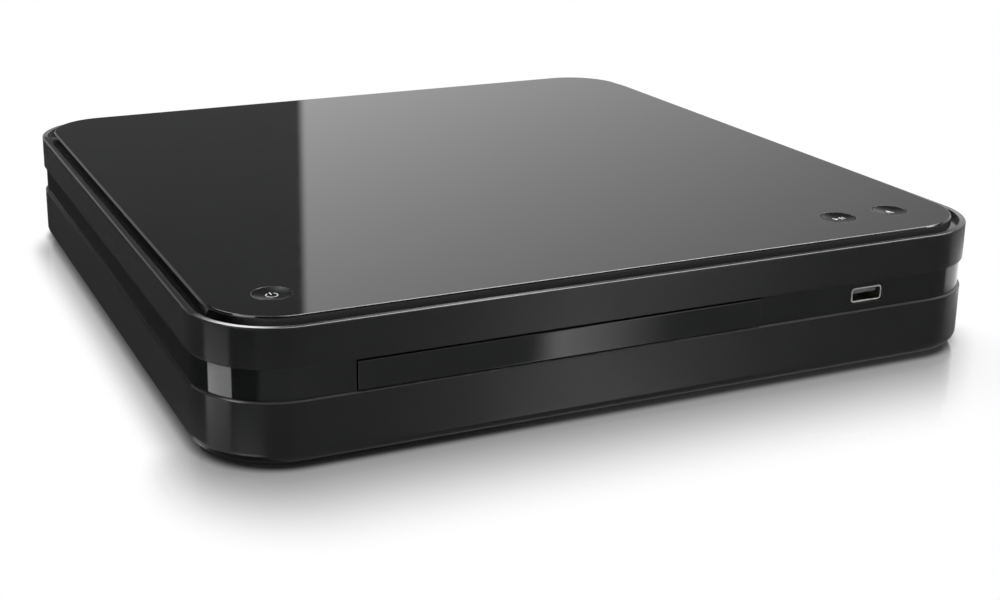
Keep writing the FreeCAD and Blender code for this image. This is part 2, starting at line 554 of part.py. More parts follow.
# Upper casing: rim, channel, deck with three button holes, posts, key board bosses and rear panel lugs.
BUTTONS = {"power_button": "power_x", "play_button": "play_x", "open_button": "open_x"}
KEY_HOLES = [("power_x - key_screw_offset", "button_y + key_screw_offset"),
             ("power_x + key_screw_offset", "button_y - key_screw_offset"),
             ("play_x - key_screw_offset", "button_y + key_screw_offset"),
             ("open_x + key_screw_offset", "button_y - key_screw_offset")]
LUGS = ["panel_lug_side", "-panel_lug_side"]
LUG_Y = ("panel_back - panel_lug_depth", "panel_back")
lid = new_body("upper_lid")
shell = add(lid, ("band_top", "rim_top"), inset_case("0"))
soften(lid, "Fillet", edges_at(shell, "rim_top"), "lip_round")
soften(lid, "Chamfer", edges_at(lid.Tip, "band_top"), "edge_break")
remove(lid, ("deck_top", "rim_top + 1"), inset_case("lip_width"))
remove(lid, ("band_top - 1", "deck_under"), inset_case("case_wall"))
remove(lid, ("band_top - 1", "bay_high"), rect(BAY_X, BAY_Y))
add(lid, ("post_joint", "deck_under"), *[circle(x, y, "post_diameter") for x, y in POSTS])
add(lid, ("key_board_top", "deck_under"), *[circle(x, y, "boss_diameter") for x, y in KEY_HOLES])
add(lid, ("deck_under - panel_lug_drop", "deck_under"),
    *[rect(about(x, "panel_lug_width"), LUG_Y) for x in LUGS])
remove(lid, ("post_joint", "post_joint + pilot_depth"), *[circle(x, y, "screw_pilot") for x, y in POSTS])
remove(lid, ("key_board_top", "deck_under"), *[circle(x, y, "screw_pilot") for x, y in KEY_HOLES])
remove(lid, ("deck_under - 1", "deck_top + 1"),
       *[circle(x, "button_y", "button_diameter + 2*button_gap") for x in BUTTONS.values()])
LUG_PILOT = ("panel_back - panel_lug_depth + 1", "panel_back")
node("top_cover", cut(lid, *[rod("y", (x, "panel_screw_z"), LUG_PILOT, "screw_pilot") for x in LUGS]))

# Top plate: a thick gloss sheet that stands proud of the rim.
sheet_body = new_body("gloss_sheet")
slab = add(sheet_body, ("deck_top", "plate_top"), inset_case("plate_inset"))
soften(sheet_body, "Chamfer", edges_at(slab, "plate_top"), "plate_edge")
remove(sheet_body, ("deck_top - 1", "plate_top + 1"),
       *[circle(x, "button_y", "button_diameter + 2*button_gap") for x in BUTTONS.values()])
node("top_plate", sheet_body)

for corner, (x, y) in FEET.items():
    rim = "foot_diameter/2"
    node("foot_" + corner, turned("foot_" + corner + "_body", x, y, [
        ("0", "0"), (f"{rim} - 1", "0"), (rim, "1"), (rim, "floor_gap + foot_sink"),
        ("0", "floor_gap + foot_sink")]))
node("case_screws", group(*[screw("z", post, "head_seat", "case_screw_length", 1) for post in POSTS]))

# Buttons with dished caps, the switches under them and the two key boards.
for label, x in BUTTONS.items():
    cap = rod("z", (x, "button_y"), ("flange_top", "plate_top"), "button_diameter")
    flange = rod("z", (x, "button_y"), ("flange_under", "flange_top"), "button_flange")
    stem = rod("z", (x, "button_y"), ("switch_top - stem_depth", "flange_under"), "stem_diameter")
    dish = doc.addObject("Part::Sphere", "dish")
    bind(dish, "Radius", "dish_radius")
    bind(dish, "Placement.Base.x", x)
    bind(dish, "Placement.Base.y", "button_y")
    bind(dish, "Placement.Base.z", "plate_top + dish_radius - button_dish")
    node(label, cut(fuse(cap, flange, stem), dish))
switches = []
for x in BUTTONS.values():
    case = block(about(x, "switch_width"), about("button_y", "switch_width"),
                 ("key_board_top", "switch_top"))
    bore = rod("z", (x, "button_y"), ("switch_top - stem_depth - button_travel - 0.2", "switch_top"),
               "stem_diameter + 2*run_gap")
    switches.append(cut(case, bore))
node("tact_switches", group(*switches))
KEY_Z = ("key_board_under", "key_board_top")
KEY_Y = about("button_y", "2*key_board_margin")
power_keys = block(about("power_x", "2*key_board_margin"), KEY_Y, KEY_Z)
front_keys = block(("play_x - key_board_margin", "open_x + key_board_margin"), KEY_Y, KEY_Z)
for label, board, holes in (("power_key_board", power_keys, KEY_HOLES[:2]),
                            ("play_key_board", front_keys, KEY_HOLES[2:])):
    node(label, cut(board, *[rod("z", hole, KEY_Z, "screw_hole") for hole in holes]))
node("key_board_screws", group(*[screw("z", hole, "key_board_under", "short_screw_length", 1)
                                 for hole in KEY_HOLES]))

# USB socket on its board, and the remote control sensor beside it.
USB_Y = ("usb_front", "usb_front + usb_depth")
usb_shell = block(about("usb_x", "usb_width"), USB_Y, about("usb_z", "usb_height"))
usb_hollow = block(grown(about("usb_x", "usb_width"), "-usb_wall"),
                   ("usb_front - 1", "usb_front + usb_depth - usb_wall"),
                   grown(about("usb_z", "usb_height"), "-usb_wall"))
node("usb_socket", cut(usb_shell, usb_hollow))
TONGUE_TOP = "usb_top - usb_wall"
tongue_back = block(grown(about("usb_x", "usb_width"), "-usb_wall - fit_gap"),
                    ("usb_front + usb_depth - usb_wall - 3", "usb_front + usb_depth - usb_wall"),
                    ("usb_bottom + usb_wall", TONGUE_TOP))
tongue = block(about("usb_x", "usb_tongue_width"), ("usb_front + 1", "usb_front + usb_depth - usb_wall - 2"),
               (f"{TONGUE_TOP} - 0.7 - usb_tongue_height", f"{TONGUE_TOP} - 0.7"))
node("usb_tongue", fuse(tongue_back, tongue))
usb_card = block(about("usb_x", "2*usb_board_half"), ("usb_board_front", "usb_board_back"),
                 (usb_board_under, "usb_bottom"))
node("usb_board", cut(usb_card, *[rod("z", hole, (usb_board_under, "usb_bottom"), "screw_hole")
                                  for hole in USB_HOLES]))
SENSOR_X = "usb_x - sensor_side"
sensor_body = block(about(SENSOR_X, "sensor_width"),
                    ("usb_board_front + 1", "usb_board_front + 1 + sensor_depth"),
                    ("usb_bottom", "usb_bottom + sensor_height"))
sensor_eye = rod("y", (SENSOR_X, "usb_bottom + sensor_height/2"),
                 ("usb_board_front + 0.2", "usb_board_front + 1"),
                 "sensor_lens")
node("remote_sensor", fuse(sensor_body, sensor_eye))

# Loader chassis: base with a window for the lift, side walls with tray ledges, gear posts and pivot lugs.
LOADER_X = about("loader_x", "2*loader_outer")
LOADER_Y = ("loader_front", "loader_back")
WINDOW_X = about("loader_x", "lift_width + 1")
WINDOW_Y = ("lift_front - 1", "lift_back + 3")
INNER_X = about("loader_x", "2*loader_inner")
LEDGE_Z = ("tray_bottom - slide_gap - ledge_height", "tray_bottom - slide_gap")
HOOK_Z = ("tray_top + slide_gap", "tray_top + slide_gap + hook_height")
CAM_X = about("loader_x", "cam_length")
chassis = new_body("chassis")
add(chassis, ("loader_base", "loader_top"), rect(LOADER_X, LOADER_Y))
add(chassis, ("loader_base", "loader_top"),
    *[rect(about(f"loader_x {sign} tab_x", "tab_length + 1"), about(y, "tab_width"))
      for sign in "-+" for y in ("tab_front_y", "tab_back_y")])
add(chassis, ("loader_top", "wall_top"), rect((LOADER_X[0], INNER_X[0]), LOADER_Y),
    rect((INNER_X[1], LOADER_X[1]), LOADER_Y))
add(chassis, ("loader_top", "wall_top"),
    rect(grown(INNER_X, "loader_wall/2"), ("loader_back - loader_wall", "loader_back")))
for z, y in ((LEDGE_Z, LOADER_Y), (HOOK_Z, ("loader_front", "loader_front + hook_length"))):
    add(chassis, z, rect((f"{INNER_X[0]} - loader_wall/2", f"{INNER_X[0]} + ledge_width"), y),
        rect((f"{INNER_X[1]} - ledge_width", f"{INNER_X[1]} + loader_wall/2"), y))
GEAR_POSTS = [("pinion_x", "pinion_y"), ("pulley_x", "pinion_y")]
add(chassis, ("loader_top", "gear_seat"), *[circle(x, y, "gear_post") for x, y in GEAR_POSTS])
add(chassis, ("gear_seat", "pulley_top + 0.4"), *[circle(x, y, "gear_pin") for x, y in GEAR_POSTS])
lug_span = "lift_width/2 + 0.4"
add(chassis, ("loader_top", "pivot_z + pivot_pin/2 + 1.4"),
    rect((f"loader_x - ({lug_span} + pivot_lug)", f"loader_x - ({lug_span})"),
         about("pivot_y", "pivot_lug_depth")),
    rect((f"loader_x + ({lug_span})", f"loader_x + ({lug_span} + pivot_lug)"),
         about("pivot_y", "pivot_lug_depth")))
remove(chassis, ("loader_base - 1", "loader_top"), rect(WINDOW_X, WINDOW_Y))
remove(chassis, ("loader_base - 1", "loader_top"),
       circle("motor_x", "pinion_y", "motor_diameter + 2*motor_hole_gap"),
       *[circle(x, y, "screw_hole") for x, y in TABS])
remove(chassis, ("loader_top - cam_groove", "loader_top"),
       rect(grown(CAM_X, "cam_stroke + 1"), ("cam_front - slide_gap", "cam_back + slide_gap")))
PIVOT_X = about("loader_x", "lift_width + 2*pivot_pin_length")
node("loader_chassis", cut(chassis, rod("x", ("pivot_y", "pivot_z"), grown(PIVOT_X, "1"),
                                        "pivot_pin + 2*run_gap")))
node("loader_screws", group(*[screw("z", tab, "loader_top", "loader_screw_length", -1) for tab in TABS]))


# Toothed wheels and the rack: involute flanks, each an arc through three of its points.
def polar(radius, angle):
    """A point at a radius and an angle in radians."""
    return Vector(radius * math.cos(angle), radius * math.sin(angle), 0)


def toothed_face(module, teeth, turn):
    """The face of a spur wheel with one tooth's middle at the turn angle in radians."""
    count = int(round(size(teeth)))
    scale = size(module)
    pressure = math.radians(size("pressure_angle"))
    pitch = scale * count / 2
    base = pitch * math.cos(pressure)
    tip = pitch + size("tooth_tip") * scale
    root = pitch - size("tooth_root") * scale
    half_pitch = (math.pi * scale / 2 - size("backlash") / 2) / (2 * pitch)

    def half_angle(radius):
        slope = math.acos(min(1.0, base / radius))
        return half_pitch + math.tan(pressure) - pressure - (math.tan(slope) - slope)

    start = max(root, base)
    edges = []
    for index in range(count):
        middle = turn + 2 * math.pi * index / count
        following = middle + 2 * math.pi / count
        radii = (start, (start + tip) / 2, tip)
        rising = [polar(r, middle - half_angle(r)) for r in radii]
        falling = [polar(r, middle + half_angle(r)) for r in reversed(radii)]
        low, high = polar(root, middle - half_angle(start)), polar(root, middle + half_angle(start))
        if start > root:
            edges.append(Part.LineSegment(low, rising[0]).toShape())
        edges.append(Part.Arc(*rising).toShape())
        edges.append(Part.Arc(rising[2], polar(tip, middle), falling[0]).toShape())
        edges.append(Part.Arc(*falling).toShape())
        if start > root:
            edges.append(Part.LineSegment(falling[2], high).toShape())
        after = polar(root, following - half_angle(start))
        edges.append(Part.Arc(high, polar(root, (middle + following) / 2), after).toShape())
    return Part.Face(Part.Wire(edges))


def wheel(module, teeth, turn, x, y, z):
    """A toothed wheel over a span of height, set on its axis."""
    item = made(toothed_face(module, teeth, turn).extrude(Vector(0, 0, size(f"({z[1]}) - ({z[0]})"))),
                "wheel")
    for letter, place in zip("xyz", (x, y, z[0])):
        bind(item, "Placement.Base." + letter, place)
    return item


def rack_solid():
    """The rack under the tray, with a tooth space opposite the middle of the pinion."""
    scale = size("rack_module")
    pitch = math.pi * scale
    slope = math.tan(math.radians(size("pressure_angle")))
    half = (pitch / 2 - size("backlash") / 2) / 2
    tip, root = size("tooth_tip") * scale, size("tooth_root") * scale
    line, middle = size("rack_x"), size("pinion_y")
    front, back = size("door_back") + 4, size("tray_back")
    corners = [(line - size("rack_back"), front), (line - root, front)]
    index = math.ceil((front + pitch / 2 - middle) / pitch - 0.5)
    while middle + (index + 0.5) * pitch + pitch / 2 < back:
        tooth = middle + (index + 0.5) * pitch
        corners += [(line - root, tooth - half - root * slope), (line + tip, tooth - half + tip * slope),
                    (line + tip, tooth + half - tip * slope), (line - root, tooth + half + root * slope)]
        index += 1
    corners += [(line - root, back), (line - size("rack_back"), back)]
    points = [Vector(x, y, size("rack_bottom")) for x, y in corners]
    return Part.Face(Part.makePolygon(points + points[:1])).extrude(Vector(0, 0, size("rack_height + 1")))


# Disc tray with recesses for both disc sizes, the lift slot, a low back gate and the rack; the door in front.
TRAY_Y = ("door_back", "tray_back")
tray = new_body("tray_slab")
add(tray, ("tray_bottom", "tray_top"), rect(about("loader_x", "tray_width"), TRAY_Y))
remove(tray, ("tray_floor_top", "tray_top + 1"), circle("loader_x", "disc_y", "disc_recess"))
remove(tray, ("tray_floor_top - small_depth", "tray_floor_top"),
       circle("loader_x", "disc_y", "small_recess"))
remove(tray, ("tray_floor_top", "tray_top + 1"),
       rect(about("loader_x", "gate_width"), ("disc_y", "tray_back + 1")))
remove(tray, ("tray_bottom - 1", "tray_top + 1"),
       rounded(about("loader_x", "slot_width"), ("disc_y - slot_front", "disc_y + slot_back"),
               "slot_corner"))
remove(tray, ("tray_bottom - 1", "tray_top - tray_floor"),
       rect(("loader_x + gate_width/2 + 2", "loader_x + tray_width/2 - 3"),
            ("tray_back - 24", "tray_back - 2")))
node("disc_tray", fuse(tray, made(rack_solid(), "rack")))
DOOR_X = grown(("opening_left", "opening_left + opening_width"), "-door_gap")
door = new_body("door_slab")
panel = add(door, ("lower_top + door_gap", "band_top - door_gap"), rect(DOOR_X, ("door_front", "door_back")))
doc.recompute()
front_edges = [f"Edge{i + 1}" for i, e in enumerate(panel.Shape.Edges)
               if abs(e.BoundBox.YMax - size("door_front")) < 1e-4]
soften(door, "Fillet", front_edges, "edge_break")
node("tray_door", door)

# Tray drive: rack pinion and wheel in one piece, pulley and pinion in one piece, belt, pulley and motor.
PIN_BORE = "gear_pin + 2*run_gap"
rack_pinion = wheel("rack_module", "pinion_teeth", 0, "pinion_x", "pinion_y",
                    ("wheel_top - 0.2", "pinion_top"))
big_wheel = wheel("wheel_module", "wheel_teeth", 0, "pinion_x", "pinion_y", ("wheel_bottom", "wheel_top"))
node("tray_gear", cut(fuse(rack_pinion, big_wheel),
                      rod("z", ("pinion_x", "pinion_y"), ("wheel_bottom - 1", "pinion_top + 1"), PIN_BORE)))
half_tooth = math.pi / size("small_teeth")
small_pinion = wheel("wheel_module", "small_teeth", half_tooth, "pulley_x", "pinion_y",
                     ("wheel_bottom", "pulley_bottom + 0.2"))
GROOVE = ("belt_level - groove_height/2", "belt_level + groove_height/2")


def pulley(x, rim, groove, z):
    """A round pulley with a groove at the belt level."""
    centre = (x, "pinion_y")
    collar = cut(rod("z", centre, GROOVE, f"{rim} + 1"), rod("z", centre, GROOVE, groove))
    return cut(rod("z", centre, z, rim), collar)


node("pulley_gear", cut(fuse(small_pinion, pulley("pulley_x", "pulley_rim", "pulley_groove",
                                                  ("pulley_bottom", "pulley_top"))),
                        rod("z", ("pulley_x", "pinion_y"), ("wheel_bottom - 1", "pulley_top + 1"),
                            PIN_BORE)))
motor_hub = pulley("motor_x", "motor_rim", "motor_groove", ("pulley_bottom + 0.4", "pulley_top - 0.4"))
shaft = rod("z", ("motor_x", "pinion_y"), ("motor_top + motor_shaft_gap", "pulley_top"), "motor_shaft")
node("motor_pulley", fuse(motor_hub, shaft))
motor_can = rod("z", ("motor_x", "pinion_y"), ("motor_bottom", "motor_top"), "motor_diameter")
motor_ring = rod("z", ("motor_x", "pinion_y"), ("loader_top", "loader_top + motor_flange_thickness"),
                 "motor_flange")
node("loading_motor", fuse(motor_can, motor_ring))


def belt_loop(grow):
    """The closed line of the belt round both pulleys, at a distance out from the grooves."""
    span = size("belt_span")
    big, small = size("pulley_groove") / 2 + grow, size("motor_groove") / 2 + grow
    lean = math.acos((big - small) / span)
    far = Vector(span, 0, 0)
    top, low = polar(big, lean), polar(big, -lean)
    top_far, low_far = far + polar(small, lean), far + polar(small, -lean)
    return Part.Wire([Part.Arc(top, polar(big, math.pi), low).toShape(),
                      Part.LineSegment(low, low_far).toShape(),
                      Part.Arc(low_far, far + polar(small, 0), top_far).toShape(),
                      Part.LineSegment(top_far, top).toShape()])


belt_height = Vector(0, 0, size("belt_size"))
belt_outside = Part.Face(belt_loop(size("belt_gap + belt_size"))).extrude(belt_height)
belt = made(belt_outside.cut(Part.Face(belt_loop(size("belt_gap"))).extrude(belt_height)), "belt")
bind(belt, "Placement.Base.x", "pulley_x")
bind(belt, "Placement.Base.y", "pinion_y")
bind(belt, "Placement.Base.z", "belt_level - belt_size/2")
node("drive_belt", belt)

# Lift: a frame on two pivot pins, moved by a slider with a sloping slot, all drawn level and then lowered.
LIFT_X = about("loader_x", "lift_width")
frame_ring = cut(block(LIFT_X, ("lift_front", "lift_back"), ("lift_under", "lift_top")),
                 block(grown(LIFT_X, "-lift_side_bar"), ("lift_front + lift_bar", "lift_back - lift_bar"),
                       ("lift_under - 1", "lift_top + 1")))
pivots = [rod("x", ("pivot_y", "pivot_z"), (PIVOT_X[0], LIFT_X[0] + " + 1"), "pivot_pin"),
          rod("x", ("pivot_y", "pivot_z"), (LIFT_X[1] + " - 1", PIVOT_X[1]), "pivot_pin")]
pin_eyes = [block(span, about("pivot_y", "lift_behind_pivot*2"), ("pivot_z - pivot_pin/2 - 0.8", "lift_top"))
            for span in ((LIFT_X[0], LIFT_X[0] + " + lift_side_bar"),
                         (LIFT_X[1] + " - lift_side_bar", LIFT_X[1]))]
cam_pin = rod("y", ("loader_x", "pivot_z"), ("lift_front - cam_pin_length", "lift_front + 1"), "cam_pin")
lowered("lift_frame", fuse(frame_ring, *pivots, *pin_eyes, cam_pin))

slot_half = "cam_pin/2 + cam_gap"
slot_rise = "pivot_z - (cam_pin_rest_z)"
slot_slope = math.atan2(size(slot_rise), size("cam_stroke"))
slot_shape = [Vector(0, 0, 0), Vector(size("cam_stroke"), 0, size(slot_rise))]
reach = size(slot_half)
normal = Vector(-math.sin(slot_slope), 0, math.cos(slot_slope)) * reach
along = Vector(math.cos(slot_slope), 0, math.sin(slot_slope)) * reach
slot_wire = Part.Wire([
    Part.LineSegment(slot_shape[0] - normal, slot_shape[1] - normal).toShape(),
    Part.Arc(slot_shape[1] - normal, slot_shape[1] + along, slot_shape[1] + normal).toShape(),
    Part.LineSegment(slot_shape[1] + normal, slot_shape[0] + normal).toShape(),
    Part.Arc(slot_shape[0] + normal, slot_shape[0] - along, slot_shape[0] - normal).toShape()])
slot = made(Part.Face(slot_wire).extrude(Vector(0, size("cam_thickness + 2"), 0)), "slot")
bind(slot, "Placement.Base.x", "loader_x")
bind(slot, "Placement.Base.y", "cam_front - 1")
bind(slot, "Placement.Base.z", "cam_pin_rest_z")
CAM_PLATE_X = ("loader_x - (cam_length - cam_stroke)/2", "loader_x + (cam_length + cam_stroke)/2")
node("cam_slider", cut(block(CAM_PLATE_X, ("cam_front", "cam_back"),
                             ("cam_bottom", "cam_bottom + cam_height")), slot))

# Traverse: a plate on rubber grommets with the spindle, the guide rods, the pickup and its lead screw.
GROMMETS = [(f"loader_x {sign} grommet_x", y) for sign in "-+"
            for y in ("grommet_front_y", "grommet_back_y")]
grommets = []
for number, (x, y) in enumerate(GROMMETS):
    outer, neck, bore = "grommet_diameter/2", "grommet_neck/2", "grommet_bore/2"
    high = "traverse_top + grommet_top"
    grommets.append(turned(f"grommet_{number}", x, y, [
        (bore, "lift_top"), (outer, "lift_top"), (outer, "traverse_under"), (neck, "traverse_under"),
        (neck, "traverse_top"), (outer, "traverse_top"), (outer, high), (bore, high)]))
lowered("grommets", group(*grommets))
ROD_X = [f"loader_x {sign} rod_spacing/2" for sign in "-+"]
LEAD_X = "loader_x + screw_side"
ROD_Y = ("disc_y + rod_front", "disc_y + rod_back")
HOLD_Z = ("rod_z - holder_below", "traverse_under")
TRAVERSE_Z = ("traverse_under", "traverse_top")
plate = block(grown(LIFT_X, "-traverse_margin"),
              ("lift_front + traverse_margin/2", "lift_back - traverse_margin/2"),
              TRAVERSE_Z)
FRONT_HOLD = (ROD_Y[0], ROD_Y[0] + " + holder_length")
BACK_HOLD = (ROD_Y[1] + " - holder_length", ROD_Y[1])
holders = [block(about(x, "holder_width"), y, HOLD_Z) for x in ROD_X for y in (FRONT_HOLD, BACK_HOLD)]
lead_holder = block(about(LEAD_X, "holder_width"), BACK_HOLD, ("lead_z - holder_below", "traverse_under"))
plate_holes = [block(about("loader_x", "window_width"), ("disc_y + window_front", "disc_y + window_back"),
                     grown(TRAVERSE_Z, "0.1")),
               rod("z", ("loader_x", "disc_y"), grown(TRAVERSE_Z, "1"), "shaft_hole")]
plate_holes += [rod("z", place, grown(TRAVERSE_Z, "1"), "grommet_neck") for place in GROMMETS]
plate_holes += [rod("y", (x, "rod_z"), grown(ROD_Y, "1"), "rod_diameter") for x in ROD_X]
plate_holes.append(rod("y", (LEAD_X, "lead_z"), grown(BACK_HOLD, "1"), "lead_screw + 2*run_gap"))
lowered("traverse_base", cut(fuse(plate, *holders, lead_holder), *plate_holes))
lowered("guide_rods", group(*[rod("y", (x, "rod_z"), ROD_Y, "rod_diameter") for x in ROD_X]))
lowered("spindle_motor", rod("z", ("loader_x", "disc_y"),
                             ("traverse_under - spindle_height", "traverse_under"),
                             "spindle_diameter"))
wide, hub = "turntable_diameter/2", "hub_diameter/2"
lowered("turntable", turned("turntable_body", "loader_x", "disc_y", [
    ("0", "traverse_under + turntable_gap/2"), ("spindle_shaft/2", "traverse_under + turntable_gap/2"),
    ("spindle_shaft/2", "traverse_top + turntable_gap"), (wide + " - 2", "traverse_top + turntable_gap"),
    (wide, "traverse_top + turntable_gap + 1"), (wide, "disc_seat"), (hub, "disc_seat"),
    ("hub_top/2", "disc_seat + hub_height"), ("0", "disc_seat + hub_height")]))
SLED_Y = (ROD_Y[0] + " - sled_length", ROD_Y[0])
sled_can = rod("y", (LEAD_X, "lead_z"), SLED_Y, "sled_diameter")
sled_saddle = block(about(LEAD_X, "sled_diameter"), SLED_Y, ("lead_z", "traverse_under"))
lowered("sled_motor", fuse(sled_can, sled_saddle))
lowered("lead_screw", rod("y", (LEAD_X, "lead_z"), (ROD_Y[0] + " + sled_gap", ROD_Y[1]), "lead_screw"))
EAR_Y = about("pickup_y", "ear_length")
pickup_body = block(about("loader_x", "pickup_width"), about("pickup_y", "pickup_length"),
                    ("pickup_under", "pickup_top"))
ears = block(about("loader_x", "rod_spacing + holder_width"), EAR_Y,
             ("rod_z - holder_below", "rod_z + rod_drop - 0.6"))
lead_arm = block(("loader_x + pickup_width/2 - 1", LEAD_X + " + holder_width/2"), EAR_Y,
                 ("lead_z - holder_below", "lead_z + holder_below"))
lens_mount = block(about("loader_x", "lens_mount"), about("pickup_y", "lens_mount"),
                   ("pickup_top - 1", "lens_base"))
slides = [rod("y", (x, "rod_z"), grown(EAR_Y, "1"), "rod_diameter + 2*run_gap") for x in ROD_X]
slides.append(rod("y", (LEAD_X, "lead_z"), grown(EAR_Y, "1"), "lead_screw + 2*run_gap"))
lowered("optical_pickup", cut(fuse(pickup_body, ears, lead_arm, lens_mount), *slides))
lens_rim = rod("z", ("loader_x", "pickup_y"), ("lens_base", "lens_base + lens_height"), "lens_diameter")
lens_cap = doc.addObject("Part::Sphere", "lens_cap")
cap_radius = "((lens_diameter/2 - 0.4)^2 + lens_crown^2)/(2*lens_crown)"
bind(lens_cap, "Radius", cap_radius)
bind(lens_cap, "Placement.Base.x", "loader_x")
bind(lens_cap, "Placement.Base.y", "pickup_y")
bind(lens_cap, "Placement.Base.z", f"lens_base + lens_height + lens_crown - {cap_radius}")
lens_top = doc.addObject("Part::MultiCommon", "lens_top")
lens_top.Shapes = [lens_cap, rod("z", ("loader_x", "pickup_y"),
                                 ("lens_base + lens_height - 0.2", "lens_base + 3"),
                                 "lens_diameter - 0.8")]
lowered("pickup_lens", fuse(lens_rim, lens_top))

# Clamp bridge over the tray and the clamper that spins in its hole.
BRIDGE_Y = about("disc_y", "bridge_width")
bridge_sheet = block(LOADER_X, BRIDGE_Y, ("wall_top", "bridge_top"))
folds = [block(grown(LOADER_X, "-6"), span, ("bridge_top", "bridge_top + bridge_fold")) for span in (
    (BRIDGE_Y[0], BRIDGE_Y[0] + " + bridge_thickness"), (BRIDGE_Y[1] + " - bridge_thickness", BRIDGE_Y[1]))]
bridge_ring = cut(rod("z", ("loader_x", "disc_y"), ("wall_top", "bridge_top"), "clamp_flange + 14"),
                  rod("z", ("loader_x", "disc_y"), ("wall_top - 1", "bridge_top + 1"), "clamp_flange + 4"))
fold_gap = rod("z", ("loader_x", "disc_y"), ("bridge_top", "bridge_top + bridge_fold + 1"),
               "clamp_flange + 2")
node("clamp_bridge", cut(fuse(bridge_sheet, *folds, bridge_ring), fold_gap,
                         rod("z", ("loader_x", "disc_y"), ("wall_top - 1", "bridge_top + 1"), "clamp_hole")))
flange, neck, dip = "clamp_flange/2", "clamp_hub/2", "clamp_recess/2"
clamp_high = "clamp_seat + clamp_flange_height"
node("clamper", turned("clamper_body", "loader_x", "disc_y", [
    ("0", "clamp_bottom + clamp_recess_depth"), (dip, "clamp_bottom + clamp_recess_depth"),
    (dip, "clamp_bottom"),
    (neck, "clamp_bottom"), (neck, "clamp_seat"), (flange, "clamp_seat"), (flange, clamp_high),
    ("6", clamp_high), ("5", clamp_high + " - 0.6"), ("0", clamp_high + " - 0.6")]))

# Main board with its chip and heat sink, power board with transformer and capacitors, flat cable.
BOARD_Z = ("board_under", "board_top")
main_card = block(("main_x", "main_right"), ("main_y", "main_back"), BOARD_Z)
chip = block(about("sink_x", "chip_width"), about("sink_y", "chip_width"),
             ("board_top", "board_top + chip_height"))
node("main_board", cut(fuse(main_card, chip), *[rod("z", hole, BOARD_Z, "screw_hole")
                                                for hole in MAIN_HOLES]))
SINK_Z = "board_top + chip_height"
sink = new_body("finned_sink")
add(sink, (SINK_Z, f"{SINK_Z} + sink_base"), rect(about("sink_x", "sink_width"),
                                                  about("sink_y", "sink_width")))
fin_left = "sink_x - sink_width/2"
fin = add(sink, (f"{SINK_Z} + sink_base", f"{SINK_Z} + sink_height"),
          rect((fin_left, f"{fin_left} + sink_fin"), about("sink_y", "sink_width")))
doc.recompute()
fins = sink.newObject("PartDesign::LinearPattern", "fins")
fins.Originals = [fin]
fins.Direction = (next(f for f in sink.Origin.OriginFeatures if f.Role == "X_Axis"), [""])
bind(fins, "Length", "sink_pitch*(sink_fins - 1)")
bind(fins, "Occurrences", "sink_fins")
sink.Tip = fins
node("heat_sink", sink)
power_card = block(("power_x_left", "power_edge"), ("power_y", "main_back"), BOARD_Z)
node("power_board", cut(power_card, *[rod("z", hole, BOARD_Z, "screw_hole") for hole in POWER_HOLES]))
SHORT = [screw("z", hole, "board_top", "short_screw_length", -1) for hole in MAIN_HOLES + POWER_HOLES]
SHORT += [screw("z", hole, "usb_bottom", "short_screw_length", -1) for hole in USB_HOLES]
node("board_screws", group(*SHORT))
CORE_X, CORE_Y = about("power_mid", "transformer_width"), about("transformer_y", "transformer_depth")
core = block(CORE_X, grown(CORE_Y, "-7"), ("board_top + 3", "board_top + transformer_height"))
bobbin = block(grown(CORE_X, "-5"), CORE_Y, ("board_top + 6", "board_top + transformer_height - 4"))
base = block(grown(CORE_X, "-1"), grown(CORE_Y, "-1"), ("board_top", "board_top + 6"))
node("transformer", fuse(core, bobbin, base))
node("capacitors", group(*[rod("z", ("power_mid", f"capacitor_y - {number}*capacitor_pitch"),
                               ("board_top", "board_top + capacitor_height"), "capacitor_diameter")
                           for number in range(3)]))
cable = new_body("cable_strip")
cable_low, cable_high = "board_top", "board_top + cable_rise"
strip = cable.newObject("PartDesign::Pad", "cable_pad")
bend_back, bend_front = "main_y - cable_bend", "loader_back + cable_bend"
strip.Profile = sketch_on(cable, "YZ_Plane", "loader_x + cable_side - cable_width/2", [outline([
    ("loader_back", cable_high), (bend_front, cable_high), (bend_back, cable_low),
    ("main_y + cable_overlap", cable_low), ("main_y + cable_overlap", f"{cable_low} + cable_thickness"),
    (f"{bend_back} + 0.1", f"{cable_low} + cable_thickness"),
    (f"{bend_front} + 0.1", f"{cable_high} + cable_thickness"),
    ("loader_back", f"{cable_high} + cable_thickness")])])
bind(strip, "Length", "cable_width")
node("flat_cable", cable)

# Rear bay: a folded panel with holes, and the sockets that pass through it.
PANEL_X = grown(BAY_X, "panel_overlap")
PANEL_Z = ("bay_low - panel_overlap", "bay_high + panel_overlap")
PANEL_Y = ("panel_back", "panel_rim")
panel_box = block(PANEL_X, PANEL_Y, PANEL_Z)
panel_inside = block(grown(PANEL_X, "-panel_thickness"), ("panel_face", "panel_rim + 1"),
                     grown(PANEL_Z, "-panel_thickness"))
HOLE_Y = ("panel_back - 1", "panel_face + 1")
SCARTS = {"tv_socket": "tv_x", "recorder_socket": "tv_x - scart_pitch"}
AUDIO = [f"audio_x + {number}*audio_pitch" for number in range(3)]
ANTENNAS = ["antenna_x", "antenna_x - antenna_pitch"]
gap = "panel_hole_gap"
holes = [block(grown(about(x, "scart_width"), gap), HOLE_Y, grown(about("scart_z", "scart_height"), gap))
         for x in SCARTS.values()]
holes.append(block(grown(about("mains_x", "mains_width"), gap), HOLE_Y,
                   grown(about("mains_z", "mains_height"), gap)))
holes.append(block(grown(about("digital_x", "digital_width"), gap), HOLE_Y,
                   grown(about("digital_z", "digital_height"), gap)))
holes += [rod("y", (x, "audio_z"), HOLE_Y, "audio_barrel + 2*panel_hole_gap") for x in AUDIO]
